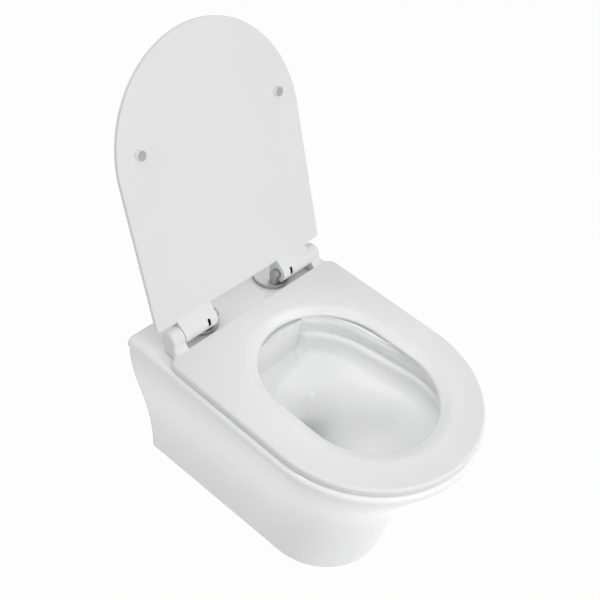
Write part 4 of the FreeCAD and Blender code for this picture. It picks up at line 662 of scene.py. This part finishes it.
# ---- hinge pins, bushes and dampers --------------------------------------------------------
# Turned steel pins run in a natural nylon bush in the seat's ear and in grey acetal bushes in
# the lid's barrels.  The soft-close dampers of seat and lid have nylon cases too.

dress(bright, "hinge_pin_right", "hinge_pin_left")

nylon = clouded_finish("natural_nylon", swell=120, grain=1600, grain_share=0.5, cloud=45,
                       light=(0.62, 0.61, 0.57, 1), dark=(0.54, 0.53, 0.49, 1),
                       roughness=(0.42, 0.55), depth=0.00005)
dress(nylon, "lid_damper", "seat_bush", "seat_damper")

acetal = clouded_finish("grey_acetal", swell=120, grain=1600, grain_share=0.5, cloud=45,
                        light=(0.085, 0.085, 0.087, 1), dark=(0.06, 0.06, 0.062, 1),
                        roughness=(0.38, 0.5), depth=0.00005)
dress(acetal, "lid_bush_right", "lid_bush_left")

# ---- seat and lid --------------------------------------------------------------------------
# Both are pressed from white thermoset and polished: a hard, even gloss, a little softer than
# the glaze, with the slight roll of a pressed surface.  Inside the service slot in each of the
# lid's barrels the white is painted near black: painted shade for the deep, unlit hole.

SLOT_FROM_MIDDLE = 0.089
SLOT_HALF_WIDTH = 0.0027
SLOT_RADIUS = 0.0156
SLOT_PAINTED_SHADE = (0.035, 0.035, 0.036, 1)
HINGE_AXIS_Y = -0.058
HINGE_AXIS_Z = 0.104

pressed = clouded_finish("pressed_white", swell=28, grain=2000, grain_share=0.02, cloud=6,
                         light=(0.74, 0.74, 0.74, 1), dark=(0.727, 0.727, 0.729, 1),
                         roughness=(0.15, 0.22), depth=0.00004)
pressed_tree = pressed.tree
across, into_wall, upward = split_axes(pressed_tree, pressed.place)
off_axis = combine_axes(pressed_tree,
                        Y=math_node(pressed_tree, "SUBTRACT", into_wall, HINGE_AXIS_Y),
                        Z=math_node(pressed_tree, "SUBTRACT", upward, HINGE_AXIS_Z))
from_axis = vector_math(pressed_tree, "LENGTH", off_axis)["Value"]
from_middle = math_node(pressed_tree, "ABSOLUTE", across)
from_slot = math_node(pressed_tree, "ABSOLUTE", math_node(
    pressed_tree, "SUBTRACT", from_middle, SLOT_FROM_MIDDLE))
painted_shade_in_slot = math_node(pressed_tree, "MULTIPLY",
                    math_node(pressed_tree, "LESS_THAN", from_slot, SLOT_HALF_WIDTH),
                    math_node(pressed_tree, "LESS_THAN", from_axis, SLOT_RADIUS))
# The inside of each slot is painted near black: painted shade for the deep hole.
paint_over(pressed, painted_shade_in_slot, SLOT_PAINTED_SHADE)
dress(pressed, "seat_ring", "lid")

# ---- seat and lid pads ---------------------------------------------------------------------
# Soft elastomer buttons, pegged into the undersides, that keep seat and lid off what is below
# them.  Those of the lid have a grey face and a side painted pale as painted light; those of the
# seat, which face down, are painted pale all over by the same mask.

PAD_FACE_DIRECTION = (0.0, -0.927, 0.375)
PAD_FACE_LIMIT = 0.92
PAD_SIDE_PAINTED_LIGHT = (0.86, 0.86, 0.855, 1)

grey = clouded_finish("grey_elastomer", swell=180, grain=2400, grain_share=0.7, cloud=50,
                      light=(0.43, 0.43, 0.425, 1), dark=(0.37, 0.37, 0.37, 1),
                      roughness=(0.5, 0.65), depth=0.0001)
# Every surface that does not face like the lid's face is painted pale: painted light standing in
# for lamp light that the pads' sides lack.
pad_normal = grey.tree.nodes.new("ShaderNodeTexCoord").outputs["Normal"]
facing = vector_math(grey.tree, "DOT_PRODUCT", pad_normal, PAD_FACE_DIRECTION)["Value"]
painted_light_off_face = math_node(grey.tree, "LESS_THAN", facing, PAD_FACE_LIMIT)
paint_over(grey, painted_light_off_face, PAD_SIDE_PAINTED_LIGHT)
dress(grey, "seat_pads", "lid_pads")
